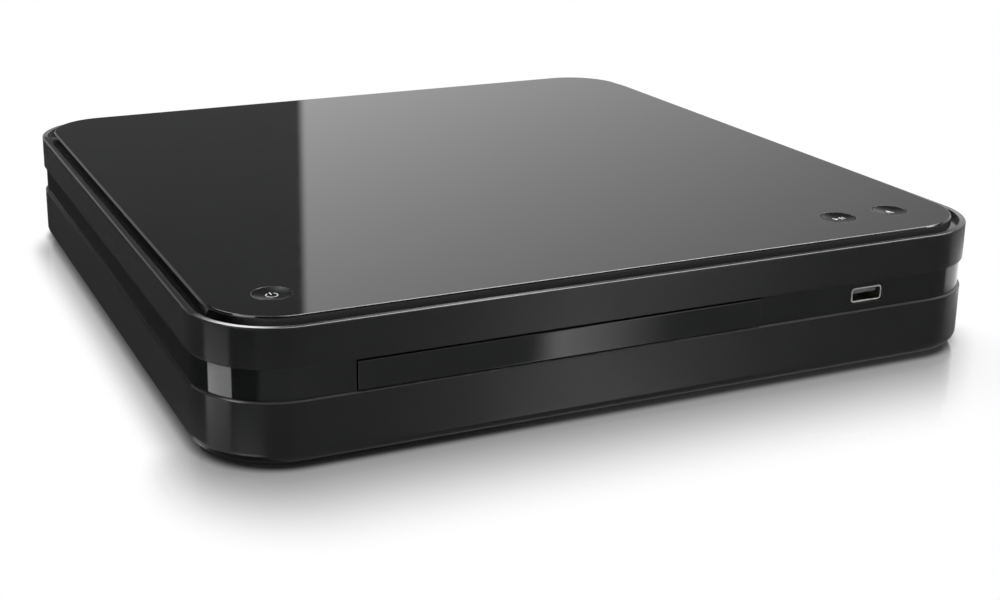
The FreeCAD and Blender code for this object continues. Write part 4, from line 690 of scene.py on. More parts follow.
class Finishes:
    """The finishes that this object's pieces wear, by the record's slots."""

    casing = LippedFinish("casing_satin_black", (0.0050, 0.0056, 0.0053), 0.19, spread=0.015, grain=3200.0,
                          depth=0.0014 * MM, rounding=0.12 * MM, wear=0.03, sheen=0.055, ior=1.45)
    # Its high edge share paints pale lines along the seams and edges, a painted highlight.
    band = Finish("band_gloss_black", (0.0074, 0.0082, 0.0078), 0.05, spread=0.012, depth=0.0006 * MM,
                  grain=700.0,
                  dust=0.02, wear=0.9)
    plate = SheetFinish("plate_mirror_black", (0.0046, 0.0052, 0.0050), 0.03, spread=0.012,
                        depth=0.0002 * MM, grain=300.0,
                   dust=0.015, rounding=0.4 * MM, wear=0.05)
    button = KeyFinish("button_gloss_black", (0.0052, 0.0058, 0.0055), 0.14, spread=0.03, grain=900.0,
                       depth=0.0008 * MM,
                       rounding=0.12 * MM, wear=0.05, ior=1.4)
    rubber = Finish("rubber_black", (0.016, 0.016, 0.016), 0.8, grain=1500.0, depth=0.02 * MM, tone=0.3,
                    dust=0.2)
    panel = Finish("panel_painted_black", (0.022, 0.022, 0.023), 0.5, grain=1700.0, depth=0.02 * MM,
                   wear=0.2)
    screw = MetalFinish("screw_black_zinc", (0.09, 0.09, 0.095), 0.34, stretch=(1400.0, 1400.0, 300.0),
                        wear=0.5,
                        rounding=0.12 * MM)
    bright = MetalFinish("bright_nickel", (0.74, 0.73, 0.70), 0.2, tone=0.06, wear=0.1)
    tin = MetalFinish("tinned_sheet", (0.55, 0.555, 0.565), 0.36, tone=0.10)
    board = BoardFinish("circuit_board_green", (0.012, 0.095, 0.035), 0.35, depth=0.03 * MM, wear=0.0)
    loader = Finish("loader_grey_plastic", (0.05, 0.052, 0.056), 0.48, grain=1900.0, depth=0.012 * MM)
    tray = Finish("tray_satin_black", (0.02, 0.02, 0.021), 0.4, grain=2400.0, depth=0.008 * MM)
    gear = Finish("gear_natural_acetal", (0.72, 0.70, 0.64), 0.42, tone=0.05, wear=0.0, grain=900.0)
    socket = Finish("socket_black_plastic", (0.018, 0.018, 0.019), 0.45, grain=2000.0)
    lens = ClearFinish("lens_clear_moulding", (0.75, 0.83, 0.93), 0.04, spread=0.02, tone=0.03, wear=0.0,
                       ior=1.5,
                       dust=0.0)
    sink = MetalFinish("sink_extruded_aluminium", (0.5, 0.5, 0.51), 0.4, stretch=(2600.0, 50.0, 2600.0))
    ferrite = Finish("ferrite_grey", (0.045, 0.045, 0.05), 0.62, grain=1400.0, depth=0.03 * MM, tone=0.3)
    sleeve = StripedFinish("capacitor_sleeve", (0.014, 0.017, 0.04), 0.3, stripe=(0.5, 0.52, 0.55),
                           pitch=16.0 * MM, width=0.16, axis="Y", wear=0.0)
    cable = StripedFinish("flat_cable_white", (0.66, 0.66, 0.64), 0.4, stripe=(0.42, 0.40, 0.36), axis="X",
                          wear=0.0)
    symbol = Finish("symbol_white_print", (0.58, 0.59, 0.59), 0.5, tone=0.05, wear=0.0, dust=0.0)
    tongue = Finish("tongue_grey_plastic", (0.13, 0.13, 0.14), 0.4)
    contact = MetalFinish("contact_gold_flash", (0.72, 0.55, 0.28), 0.25, tone=0.08)
    red = Finish("ring_red_plastic", (0.42, 0.018, 0.02), 0.4, tone=0.08)
    white = Finish("ring_white_plastic", (0.7, 0.7, 0.68), 0.42, tone=0.04)
    amber = Finish("ring_amber_plastic", (0.62, 0.24, 0.02), 0.42, tone=0.05)
    print_line = Finish("panel_print_grey", (0.42, 0.42, 0.42), 0.55, tone=0.06, wear=0.0)

    @classmethod
    def of_slot(cls, slot: str) -> Finish:
        """Gives the finish of one of the record's slots."""
        return getattr(cls, slot)


def points_of(geometry: Iterable) -> list:
    """Picks the vertices out of what a bmesh operator gives back."""
    return [item for item in geometry if isinstance(item, bmesh.types.BMVert)]


def edges_of(geometry: Iterable) -> list:
    """Picks the edges out of what a bmesh operator gives back."""
    return [item for item in geometry if isinstance(item, bmesh.types.BMEdge)]


def edges_at(verts: Iterable) -> list:
    """Gives all edges that end at some vertices."""
    return list({edge for vert in verts for edge in vert.link_edges})


class Shaper:
    """A bmesh in the making, with the operators that this object's pieces need."""

    def __init__(self) -> None:
        """Starts with an empty mesh and the first finish."""
        self.bm = bmesh.new()
        self.index = 0
        self.begin()

    def begin(self) -> None:
        """Remembers what is there, so that the next form can be found and placed."""
        self._old = set(self.bm.verts)
        self._old_faces = set(self.bm.faces)

    def place(self, matrix: Optional[Matrix] = None) -> list:
        """Ends a form: gives it its finish and its place.

        Args:
            matrix: Where the form goes.

        Returns:
            The form's vertices.
        """
        verts = [v for v in self.bm.verts if v not in self._old]
        faces = [f for f in self.bm.faces if f not in self._old_faces]
        for face in faces:
            face.material_index = self.index
        bmesh.ops.remove_doubles(self.bm, verts=verts, dist=MERGE)
        verts = [v for v in self.bm.verts if v not in self._old]
        if matrix:
            bmesh.ops.transform(self.bm, matrix=matrix, verts=verts)
        faces = [f for f in self.bm.faces if f not in self._old_faces]
        bmesh.ops.recalc_face_normals(self.bm, faces=faces)
        return verts

    def block(self, low: Point, high: Point, soften: float = 0.0, segments: int = 2,
              matrix: Optional[Matrix] = None) -> list:
        """Makes a block with softened edges.

        Args:
            low: Its lowest corner.
            high: Its highest corner.
            soften: Width of the softened edges.
            segments: Faces across each of them.
            matrix: A further placing.

        Returns:
            The block's vertices.
        """
        self.begin()
        size = Vector(high) - Vector(low)
        middle = (Vector(high) + Vector(low)) / 2
        made = bmesh.ops.create_cube(self.bm, size=1.0)
        bmesh.ops.scale(self.bm, vec=size, verts=made["verts"])
        bmesh.ops.translate(self.bm, vec=middle, verts=made["verts"])
        if soften:
            edges = edges_at(made["verts"])
            bmesh.ops.bevel(self.bm, geom=edges, offset=soften, offset_type="OFFSET", affect="EDGES",
                            segments=segments, profile=0.5, material=-1, clamp_overlap=True)
        return self.place(matrix)

    def turned(self, profile: Sequence[Pair], matrix: Optional[Matrix] = None,
               segments: int = 40) -> list:
        """Turns a profile about the Z axis.

        Args:
            profile: Radius and height of each point in millimetres, from one end to the other.
            matrix: Where the turned form goes.
            segments: Steps round the axis.

        Returns:
            The form's vertices.
        """
        self.begin()
        points = [self.bm.verts.new((radius * MM, 0.0, height * MM)) for radius, height in profile]
        lines = [self.bm.edges.new(pair) for pair in zip(points, points[1:])]
        bmesh.ops.spin(self.bm, geom=points + lines, cent=(0, 0, 0), axis=(0, 0, 1), dvec=(0, 0, 0),
                       angle=math.tau, steps=segments, use_merge=True)
        return self.place(matrix)

    def arc(self, inner: float, outer: float, start: float, turn: float, steps: int = 40) -> None:
        """Sweeps a flat strip round the Z axis.

        Args:
            inner: Inner radius.
            outer: Outer radius.
            start: Angle it starts at, from +X.
            turn: Angle it covers.
            steps: Faces along it.
        """
        direction = Vector((math.cos(start), math.sin(start), 0))
        ends = [self.bm.verts.new(direction * radius) for radius in (inner, outer)]
        line = self.bm.edges.new(ends)
        bmesh.ops.spin(self.bm, geom=ends + [line], cent=(0, 0, 0), axis=(0, 0, 1), dvec=(0, 0, 0),
                       angle=turn, steps=steps)

    def bar(self, x: float, y: float, width: float, height: float, cuts: int = 6) -> None:
        """Lays a flat rectangle."""
        matrix = Matrix.Translation((x, y, 0)) @ Matrix.Diagonal((width, height, 1, 1))
        bmesh.ops.create_grid(self.bm, x_segments=cuts, y_segments=cuts, size=0.5, matrix=matrix)

    def triangle(self, x: float, y: float, radius: float, angle: float) -> None:
        """Lays a flat triangle.

        Args:
            x: Its middle.
            y: Its middle.
            radius: From the middle to a corner.
            angle: Where the first corner points, from +X.
        """
        matrix = Matrix.Translation((x, y, 0)) @ Matrix.Rotation(angle - math.pi / 2, 4, "Z")
        made = bmesh.ops.create_circle(self.bm, cap_ends=True, segments=3, radius=radius, matrix=matrix)
        faces = list({f for v in made["verts"] for f in v.link_faces})
        bmesh.ops.triangulate(self.bm, faces=faces)
        edges = edges_at(made["verts"])
        bmesh.ops.subdivide_edges(self.bm, edges=edges, cuts=5, use_grid_fill=True)

    def sheet(self, width: float, height: float, corner: float, segments: int,
              matrix: Matrix = Matrix()) -> None:
        """Lays a flat rectangle with rounded corners.

        Args:
            width: Its size along X.
            height: Its size along Y.
            corner: Radius of its corners.
            segments: Edges round each of them.
            matrix: Where it goes.
        """
        matrix = matrix @ Matrix.Diagonal((width, height, 1, 1))
        made = bmesh.ops.create_grid(self.bm, x_segments=1, y_segments=1, size=0.5, matrix=matrix)
        bmesh.ops.bevel(self.bm, geom=made["verts"], offset=corner, offset_type="OFFSET", affect="VERTICES",
                        segments=segments, profile=0.5, material=-1)

    def outline(self, width: float, height: float, line: float, corner: float, depth: float,
                matrix: Matrix) -> None:
        """Lays a thin printed frame with rounded corners, which looks along +Z.

        Args:
            width: Its size along X.
            height: Its size along Y.
            line: Width of its line.
            corner: Radius of its corners.
            depth: Thickness of the print.
            matrix: Where it goes.
        """
        self.begin()
        bm = self.bm
        self.sheet(width, height, corner, 4)
        inner = [f for f in bm.faces if f not in self._old_faces]
        bmesh.ops.inset_region(bm, faces=inner, thickness=line, use_boundary=True, use_even_offset=True)
        bmesh.ops.delete(bm, geom=inner, context="FACES")
        faces = [f for f in bm.faces if f not in self._old_faces]
        edges = list({e for f in faces for e in f.edges})
        verts = list({v for f in faces for v in f.verts})
        bmesh.ops.solidify(bm, geom=faces + edges + verts, thickness=depth)
        self.place(matrix)

    def screw(self, spec: "ScrewSize", matrix: Matrix) -> None:
        """Makes a pan-head screw with a cross recess; its head's top is at 0 and looks along +Z.

        Args:
            spec: The screw's sizes.
            matrix: Where it goes.
        """
        self.begin()
        bm = self.bm
        half = spec.slot / 2
        floor = bmesh.ops.create_grid(bm, x_segments=1, y_segments=1, size=half)["verts"]
        bmesh.ops.translate(bm, vec=(0, 0, -spec.recess), verts=floor)
        for edge in edges_at(floor):
            out = ((edge.verts[0].co + edge.verts[1].co) / 2 * Vector((1, 1, 0))).normalized()
            arm = bmesh.ops.extrude_edge_only(bm, edges=[edge])["geom"]
            bmesh.ops.translate(bm, vec=out * spec.arm, verts=points_of(arm))
        new = [v for v in bm.verts if v not in self._old]
        rim = [e for e in edges_at(new) if e.is_boundary]
        wall = bmesh.ops.extrude_edge_only(bm, edges=rim)["geom"]
        top = points_of(wall)
        bmesh.ops.scale(bm, vec=(spec.flare, spec.flare, 1), verts=top)
        bmesh.ops.translate(bm, vec=(0, 0, spec.recess), verts=top)
        inner = edges_of(wall)
        circle = bmesh.ops.create_circle(bm, segments=spec.segments, radius=spec.crown)["verts"]
        outer = edges_at(circle)
        bmesh.ops.bridge_loops(bm, edges=inner + outer)
        radius, height = spec.crown, 0.0
        for next_radius, next_height in spec.profile():
            ring = bmesh.ops.extrude_edge_only(bm, edges=outer)["geom"]
            verts = points_of(ring)
            outer = [e for e in edges_of(ring) if all(v in set(verts) for v in e.verts)]
            grow = next_radius / radius
            bmesh.ops.scale(bm, vec=(grow, grow, 1), verts=verts)
            bmesh.ops.translate(bm, vec=(0, 0, next_height - height), verts=verts)
            radius, height = next_radius, next_height
        bmesh.ops.edgeloop_fill(bm, edges=outer)
        self.place(matrix)

    def finish(self, name: str, body: str, slot: str, finishes: Iterable[Finish],
               replaces: Sequence[str] = (),
               angle: float = 40.0) -> bpy.types.Object:
        """Turns the mesh into a piece that rides on a body.

        Args:
            name: The piece's name.
            body: The body it moves with.
            slot: Not used.
            finishes: Its finishes, in the order of their numbers.
            replaces: CAD nodes that it stands for.
            angle: Edges sharper than this stay sharp, in degrees.

        Returns:
            The piece's object.
        """
        mesh = bpy.data.meshes.new(name)
        self.bm.to_mesh(mesh)
        self.bm.free()
        mesh.shade_smooth()
        mesh.set_sharp_from_angle(angle=math.radians(angle))
        for finish in finishes:
            mesh.materials.append(finish.material())
        piece = bpy.data.objects.new(name, mesh)
        bpy.context.scene.collection.objects.link(piece)
        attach(piece, body)
        if replaces:
            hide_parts(*replaces)
        LOG.info("piece %s: %d faces, rides on %s", name, len(mesh.polygons), body)
        return piece


@dataclass(frozen=True)
class ScrewSize:
    """Sizes of a pan-head screw with a cross recess."""

    length: float
    head: float = 2.7 * MM
    head_height: float = 2.0 * MM
    crown: float = 1.7 * MM
    shank: float = 1.5 * MM
    root: float = 1.2 * MM
    pitch: float = 1.0 * MM
    slot: float = 0.62 * MM
    arm: float = 0.85 * MM
    recess: float = 1.1 * MM
    flare: float = 1.15
    segments: int = 24
    dome: tuple = ((2.3 * MM, -0.18 * MM), (2.6 * MM, -0.55 * MM))
    dome_end: float = 1.1 * MM
    runout: float = 0.6 * MM
    tip: float = 0.6

    def profile(self) -> list[Pair]:
        """Gives the outline from the crown down to the tip.

        Returns:
            Radius and height of each point.
        """
        line = [*self.dome, (self.head, -self.dome_end), (self.head, -self.head_height),
                (self.shank, -self.head_height)]
        depth = -self.head_height - self.runout
        while depth - self.pitch > -self.length:
            line.append((self.shank, depth))
            line.append((self.root, depth - self.pitch / 2))
            depth -= self.pitch
        line.append((self.root * self.tip, -self.length))
        return line


class SubAssembly:
    """A group of CAD nodes that are dressed together, with the pieces made for them."""

    nodes: Sequence[str] = ()

    def dress(self) -> None:
        """Gives each CAD node the finish of its slot."""
        slots = {part["node"]: part["material_slot"] for part in frame["record"]["subparts"]}
        for node in self.nodes:
            material = Finishes.of_slot(slots[node]).material()
            shown = frame["nodes"][node]
            if not shown.material_slots:
                shown.data.materials.append(material)
            for slot in shown.material_slots:
                slot.material = material
            LOG.info("node %s wears %s", node, material.name)

    def build(self) -> None:
        """Makes the sub-assembly's own pieces."""

    @staticmethod
    def standing(points: Sequence[Pair], z: float, over: float = 0.0) -> list[Matrix]:
        """Gives a place at each point."""
        turn = Matrix.Rotation(over, 4, "X")
        return [Matrix.Translation((x * MM, y * MM, z)) @ turn for x, y in points]

    @staticmethod
    def screws(name: str, node: str, places: Iterable[Matrix], length: float = BOARD_SCREW) -> None:
        """Makes a set of screws that stands for a CAD node.

        Args:
            name: The piece's name.
            node: The node.
            places: Where each head goes.
            length: Each screw's length.
        """
        shaper = Shaper()
        for place in places:
            shaper.screw(ScrewSize(length), place)
        shaper.finish(name, "case", "screw", [Finishes.screw], [node])


@dataclass
class Casing(SubAssembly):
    """The two covers, the band between them, the plate, the feet and the cover screws."""

    nodes: Sequence[str] = ("bottom_cover", "top_cover", "middle_band", "top_plate")
    foot_places: tuple = ((-114.0, -114.0), (114.0, -114.0), (-114.0, 114.0), (114.0, 114.0))
    foot_names: tuple = ("front_left", "front_right", "rear_left", "rear_right")
    foot_outline: tuple = ((0.0, 0.55), (3.6, 0.55), (4.1, 0.45), (4.5, 0.1), (4.9, 0.0), (6.6, 0.0),
                           (7.3, 0.14), (7.7, 0.5), (7.85, 1.0), (8.0, 2.0), (8.0, 2.3), (0.0, 2.3))
    foot_segments: int = 48
    screw_places: tuple = ((-138.0, -88.0), (138.0, -88.0), (-138.0, 105.0), (138.0, 105.0))
    screw_low: float = 5.5 * MM
    screw_high: float = 31.0 * MM

    def build(self) -> None:
        """Makes the feet and the cover screws."""
        for name, (x, y) in zip(self.foot_names, self.foot_places):
            self.foot(name, x * MM, y * MM)
        places = self.standing(self.screw_places, self.screw_low, math.pi)
        self.screws("cover_screws", "case_screws", places, self.screw_high - self.screw_low)

    def foot(self, name: str, x: float, y: float) -> None:
        """Turns one rubber foot.

        Args:
            name: Which corner it is in.
            x: Its middle.
            y: Its middle.
        """
        shaper = Shaper()
        shaper.turned(self.foot_outline, Matrix.Translation((x, y, 0)), self.foot_segments)
        shaper.finish("turned_foot_" + name, "case", "rubber", [Finishes.rubber], ["foot_" + name])


@dataclass
class FrontControls(SubAssembly):
    """The three keys with their symbols, their boards and the front socket."""

    nodes: Sequence[str] = ("power_button", "play_button", "open_button", "power_key_board",
                            "play_key_board", "tact_switches", "usb_board", "remote_sensor")
    key_y: float = -122.6 * MM
    power_x: float = -121.8 * MM
    play_x: float = 97.8 * MM
    open_x: float = 121.2 * MM
    key_top: float = 49.1 * MM
    dish_depth: float = 0.7 * MM
    dish_radius: float = 26.0 * MM
    print_height: float = 0.03 * MM
    stroke: float = 0.42 * MM
    ring_gap: float = math.radians(62)
    ring_radius: float = 1.9 * MM
    ring_steps: int = 48
    power_bar: tuple = (0.0, 1.6 * MM, stroke, 2.1 * MM)
    play_triangle: tuple = (-1.0 * MM, 0.0, 1.5 * MM, 0.0)
    pause_bars: tuple = ((1.2 * MM, 0.0, 0.6 * MM, 2.4 * MM), (2.3 * MM, 0.0, 0.6 * MM, 2.4 * MM))
    open_triangle: tuple = (0.0, 0.45 * MM, 1.6 * MM, math.pi / 2)
    open_bar: tuple = (0.0, -1.1 * MM, 2.8 * MM, 0.6 * MM)
    key_screws: tuple = ((-130.8, -113.6), (-112.8, -131.6), (88.8, -113.6), (130.2, -131.6))
    key_screw_z: float = 33.7 * MM
    shell_wall: float = 0.55 * MM
    shell_corner: float = 1.3 * MM
    shell_steps: int = 6
    tongue_side: float = 0.9 * MM
    tongue_front: float = 0.6 * MM
    tongue_lift: float = 0.1 * MM
    tongue_thick: float = 1.7 * MM
    tongue_round: float = 0.2 * MM
    root_depth: float = 2.5 * MM
    root_gap: float = 0.3 * MM
    root_round: float = 0.1 * MM
    contacts: int = 4
    contact_half: float = 0.6 * MM
    contact_front: float = 1.2 * MM
    contact_back: float = 2.0 * MM
    contact_proud: float = 0.06 * MM
    contact_deep: float = 0.3 * MM
    contact_round: float = 0.05 * MM

    def build(self) -> None:
        """Makes the symbols, the front socket and the key boards' screws."""
        self.power_symbol()
        self.play_symbol()
        self.open_symbol()
        self.socket_shell()
        self.socket_tongue()
        places = self.standing(self.key_screws, self.key_screw_z, math.pi)
        self.screws("key_board_fixings", "key_board_screws", places)

    def power_symbol(self) -> None:
        """Lays a broken ring with a bar in the gap."""
        shaper = Shaper()
        inner, outer = self.ring_radius - self.stroke / 2, self.ring_radius + self.stroke / 2
        start, turn = math.pi / 2 + self.ring_gap / 2, math.tau - self.ring_gap
        shaper.arc(inner, outer, start, turn, self.ring_steps)
        shaper.bar(*self.power_bar)
        self.print_on(shaper, self.power_x, "power_symbol", "power_button")

    def play_symbol(self) -> None:
        """Lays a triangle and two bars."""
        shaper = Shaper()
        shaper.triangle(*self.play_triangle)
        for bar in self.pause_bars:
            shaper.bar(*bar)
        self.print_on(shaper, self.play_x, "play_symbol", "play_button")

    def open_symbol(self) -> None:
        """Lays a triangle over a bar."""
        shaper = Shaper()
        shaper.triangle(*self.open_triangle)
        shaper.bar(*self.open_bar)
        self.print_on(shaper, self.open_x, "open_symbol", "open_button")

    def print_on(self, shaper: Shaper, x: float, name: str, body: str) -> None:
        """Follows a key's dish with a flat symbol and thickens it.

        Args:
            shaper: The flat symbol.
            x: The key's middle.
            name: The symbol's name.
            body: The key's body.
        """
        bm = shaper.bm
        centre = self.key_top - self.dish_depth + self.dish_radius
        for vert in bm.verts:
            vert.co.z = centre - math.sqrt(self.dish_radius ** 2 - vert.co.x ** 2 - vert.co.y ** 2)
        verts = shaper.place(Matrix.Translation((x, self.key_y, self.print_height)))
        for face in bm.faces:
            if face.normal.z < 0:
                face.normal_flip()
        bmesh.ops.solidify(bm, geom=bm.faces[:] + bm.edges[:] + verts, thickness=2 * self.print_height)
        bmesh.ops.recalc_face_normals(bm, faces=bm.faces[:])
        shaper.finish(name, body, "button", [Finishes.symbol])

    def socket_shell(self) -> None:
        """Forms the front socket's shell from sheet, closed at the back."""
        low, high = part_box("usb_socket")
        middle = (low + high) / 2
        size = high - low
        shell = Shaper()
        bm = shell.bm
        turn = Matrix.Translation((middle.x, low.y, middle.z)) @ Matrix.Rotation(math.pi / 2, 4, "X")
        shell.sheet(size.x, size.z, self.shell_corner, self.shell_steps, turn)
        rim = [e for e in bm.edges if e.is_boundary]
        bmesh.ops.delete(bm, geom=bm.faces[:], context="FACES_ONLY")
        tube = bmesh.ops.extrude_edge_only(bm, edges=rim)["geom"]
        bmesh.ops.translate(bm, vec=(0, size.y, 0), verts=points_of(tube))
        back = [e for e in edges_of(tube) if all(v.co.y > middle.y for v in e.verts)]
        bmesh.ops.edgeloop_fill(bm, edges=back)
        bmesh.ops.recalc_face_normals(bm, faces=bm.faces[:])
        bmesh.ops.solidify(bm, geom=bm.faces[:] + bm.edges[:] + bm.verts[:], thickness=self.shell_wall)
        shell.place()
        shell.finish("front_socket_shell", "case", "bright", [Finishes.bright], ["usb_socket"])

    def socket_tongue(self) -> None:
        """Makes the front socket's tongue, its root and its contacts."""
        low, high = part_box("usb_tongue")
        left, right = low.x + self.tongue_side, high.x - self.tongue_side
        shelf = (low.z + high.z) / 2 + self.tongue_lift
        gap = Vector((self.root_gap, 0, self.root_gap))
        root = Vector((low.x, high.y - self.root_depth, low.z)) + gap
        tongue = Shaper()
        tongue.block((left, low.y + self.tongue_front, shelf), (right, high.y, shelf + self.tongue_thick),
                     self.tongue_round)
        tongue.block(root, high - gap, self.root_round)
        tongue.index = 1
        for slot in range(self.contacts):
            x = left + (right - left) / self.contacts * (slot + 0.5)
            start = (x - self.contact_half, low.y + self.contact_front, shelf - self.contact_proud)
            end = (x + self.contact_half, high.y - self.contact_back, shelf + self.contact_deep)
            tongue.block(start, end, self.contact_round)
        tongue.finish("front_socket_tongue", "case", "socket", [Finishes.tongue, Finishes.contact],
                      ["usb_tongue"])


@dataclass
class TrayDrive(SubAssembly):
    """The disc tray and its door, the loader, its gears and belt, and the optical deck."""

    nodes: Sequence[str] = ("disc_tray", "tray_door", "loader_chassis", "loading_motor", "motor_pulley",
                            "drive_belt", "pulley_gear", "tray_gear", "cam_slider", "lift_frame",
                            "grommets", "traverse_base", "guide_rods", "spindle_motor", "sled_motor",
                            "turntable", "optical_pickup", "pickup_lens", "lead_screw", "clamp_bridge",
                            "clamper")
    fixings: tuple = ((-106.4, -108.5), (-106.4, -18.0), (49.8, -108.5), (49.8, -18.0))
    fixing_top: float = 10.0 * MM
    fixing_length: float = 6.8 * MM

    def build(self) -> None:
        """Makes the loader's screws."""
        places = self.standing(self.fixings, self.fixing_top)
        self.screws("loader_fixings", "loader_screws", places, self.fixing_length)


@dataclass
class Electronics(SubAssembly):
    """The main and power boards with what stands on them."""

    nodes: Sequence[str] = ("main_board", "power_board", "heat_sink", "transformer", "capacitors",
                            "flat_cable", "tuner")
    fixings: tuple = ((-125.0, 32.0), (-125.0, 95.0), (80.0, 32.0), (80.0, 95.0), (96.0, -54.0),
                      (96.0, 95.0), (125.0, -54.0), (125.0, 95.0))
    front_fixings: tuple = ((81.8, -118.8), (101.8, -118.8))
    fixing_top: float = 12.6 * MM
    front_top: float = 27.8 * MM

    def build(self) -> None:
        """Makes the boards' screws."""
        places = self.standing(self.fixings, self.fixing_top)
        places += self.standing(self.front_fixings, self.front_top)
        self.screws("board_fixings", "board_screws", places)


@dataclass
class RearConnections(SubAssembly):
    """The rear panel and the sockets in it."""

    nodes: Sequence[str] = ("rear_panel", "tv_socket", "recorder_socket", "audio_sockets", "digital_socket",
                            "antenna_input", "antenna_output", "mains_inlet")
    fixings: tuple = (-70.0, 70.0)
    fixing_z: float = 36.5 * MM
    fixing_back: float = 140.2 * MM
    panel_face: float = 138.2 * MM
    scart_names: tuple = ("tv_socket", "recorder_socket")
    scart_pitch: float = 3.81 * MM
    scart_ways: int = 10
    scart_row: float = 1.85 * MM
    scart_inset: float = 0.8 * MM
    scart_offset: float = 0.25
    scart_low: Point = (0.4 * MM, 0.6 * MM, 1.2 * MM)
    scart_high: Point = (0.4 * MM, 0.12 * MM, 1.2 * MM)
    scart_round: float = 0.1 * MM
    audio_places: tuple = (-56.0, -42.0, -28.0)
    audio_z: float = 18.0 * MM
    audio_end: float = 146.2 * MM
    barrel: float = 4.15
    mains_places: tuple = (95.7, 104.3)
    mains_z: float = 18.1 * MM
    mains_root: float = 128.9 * MM
    antenna_x: float = -92.0 * MM
    antenna_z: float = 19.0 * MM
    print_proud: float = 0.04 * MM
    print_sizes: Point = (0.35 * MM, 1.2 * MM, 0.06 * MM)
    audio_segments: int = 36
    pin_outline: tuple = ((1.26, 0.0), (1.26, 8.9), (1.1, 9.5), (0.6, 9.85), (0.0, 9.95))
    pin_segments: int = 24
    disc_outline: tuple = ((1.83, 0.4), (4.7, 0.4), (4.7, 1.1), (3.2, 1.3), (1.83, 1.3), (1.83, 0.4))
    disc_segments: int = 32
    frames: tuple = ((-99.5, 19.0, 31.0, 17.0), (-74.0, 14.2, 18.0, 12.0), (-42.0, 18.0, 44.0, 17.0),
                     (31.0, 18.4, 104.0, 19.5), (100.0, 18.1, 26.0, 19.0))

    def build(self) -> None:
        """Makes the panel's screws and print, and what each kind of socket shows inside."""
        places = [self.facing_back(x * MM, self.fixing_back, self.fixing_z) for x in self.fixings]
        self.screws("rear_panel_fixings", "rear_panel_screws", places)
        self.print_frames()
        for name in self.scart_names:
            self.scart_contacts(name)
        for x, colour, name in zip(self.audio_places, (Finishes.amber, Finishes.white, Finishes.red),
                                   ("digital_sound", "left_sound", "right_sound")):
            self.audio_sleeve(x * MM, colour, name)
        self.mains_pins()
        self.antenna_insulator()

    @staticmethod
    def facing_back(x: float, y: float, z: float) -> Matrix:
        """Gives a place whose own Z looks out of the back."""
        return Matrix.Translation((x, y, z)) @ Matrix.Rotation(-math.pi / 2, 4, "X")

    def print_frames(self) -> None:
        """Prints a thin frame round each group of sockets."""
        shaper = Shaper()
        for x, z, width, height in self.frames:
            place = self.facing_back(x * MM, self.panel_face + self.print_proud, z * MM)
            shaper.outline(width * MM, height * MM, *self.print_sizes, place)
        shaper.finish("rear_panel_print", "case", "panel", [Finishes.print_line])

    def scart_contacts(self, socket: str) -> None:
        """Sets two rows of spring contacts in a video socket's block.

        Args:
            socket: The socket's node.
        """
        low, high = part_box(socket)
        middle = (low + high) / 2
        face = high.y - self.scart_inset
        shaper = Shaper()
        for row, shift in ((-1, 0.0), (1, 0.5)):
            z = middle.z + row * self.scart_row
            for way in range(self.scart_ways):
                step = way - (self.scart_ways - 1) / 2 + shift - self.scart_offset
                root = (middle.x + step * self.scart_pitch, face, z)
                start = [place - reach for place, reach in zip(root, self.scart_low)]
                end = [place + reach for place, reach in zip(root, self.scart_high)]
                shaper.block(start, end, self.scart_round)
        shaper.finish(socket + "_contacts", "case", "bright", [Finishes.contact])

    def audio_sleeve(self, x: float, colour: Finish, name: str) -> None:
        """Turns a plated sleeve, a coloured collar and a coloured insert for one sound socket.

        Args:
            x: The socket's middle.
            colour: The collar's finish.
            name: What the socket carries.
        """
        shaper = Shaper()
        reach = (self.audio_end - self.panel_face) / MM
        inner, outer = self.barrel + 0.02, self.barrel + 0.2
        sleeve = [(inner, 1.5), (outer, 1.5), (outer, reach - 0.15), (outer - 0.1, reach + 0.05),
                  (3.6, reach + 0.05), (3.6, reach - 0.1), (inner, reach - 0.1), (inner, 1.5)]
        place = self.facing_back(x, self.panel_face, self.audio_z)
        shaper.turned(sleeve, place, self.audio_segments)
        shaper.index = 1
        collar = [(inner, 0.02), (6.0, 0.02), (6.1, 0.15), (6.1, 1.0), (5.8, 1.4), (inner, 1.4),
                  (inner, 0.02)]
        shaper.turned(collar, place, self.audio_segments)
        insert = [(1.7, reach - 0.2), (3.5, reach - 0.2), (3.5, reach + 0.02), (1.9, reach + 0.02),
                  (1.7, reach - 0.2)]
        shaper.turned(insert, place, self.audio_segments)
        shaper.finish("sleeve_" + name, "case", "socket", [Finishes.bright, colour])

    def mains_pins(self) -> None:
        """Turns the two plated pins of the mains inlet."""
        shaper = Shaper()
        for x in self.mains_places:
            place = self.facing_back(x * MM, self.mains_root, self.mains_z)
            shaper.turned(self.pin_outline, place, self.pin_segments)
        shaper.finish("mains_pins", "case", "bright", [Finishes.bright])

    def antenna_insulator(self) -> None:
        """Turns the insulating disc inside the antenna input."""
        shaper = Shaper()
        place = self.facing_back(self.antenna_x, self.panel_face, self.antenna_z)
        shaper.turned(self.disc_outline, place, self.disc_segments)
        shaper.finish("antenna_insulator", "case", "socket", [Finishes.white])


@dataclass(frozen=True)
class Softbox:
    """A rectangular studio lamp."""

    name: str
    place: Point
    aim: Point
    size: Pair
    power: float

    def light(self) -> None:
        """Hangs the lamp, out of the camera's sight."""
        lamp = bpy.data.lights.new(self.name, "AREA")
        lamp.shape = "RECTANGLE"
        lamp.size, lamp.size_y = self.size
        lamp.energy = self.power
        hung = bpy.data.objects.new(self.name, lamp)
        hung.location = self.place
        hung.rotation_euler = (Vector(self.aim) - Vector(self.place)).to_track_quat("-Z", "Y").to_euler()
        hung.visible_camera = False
        bpy.context.scene.collection.objects.link(hung)


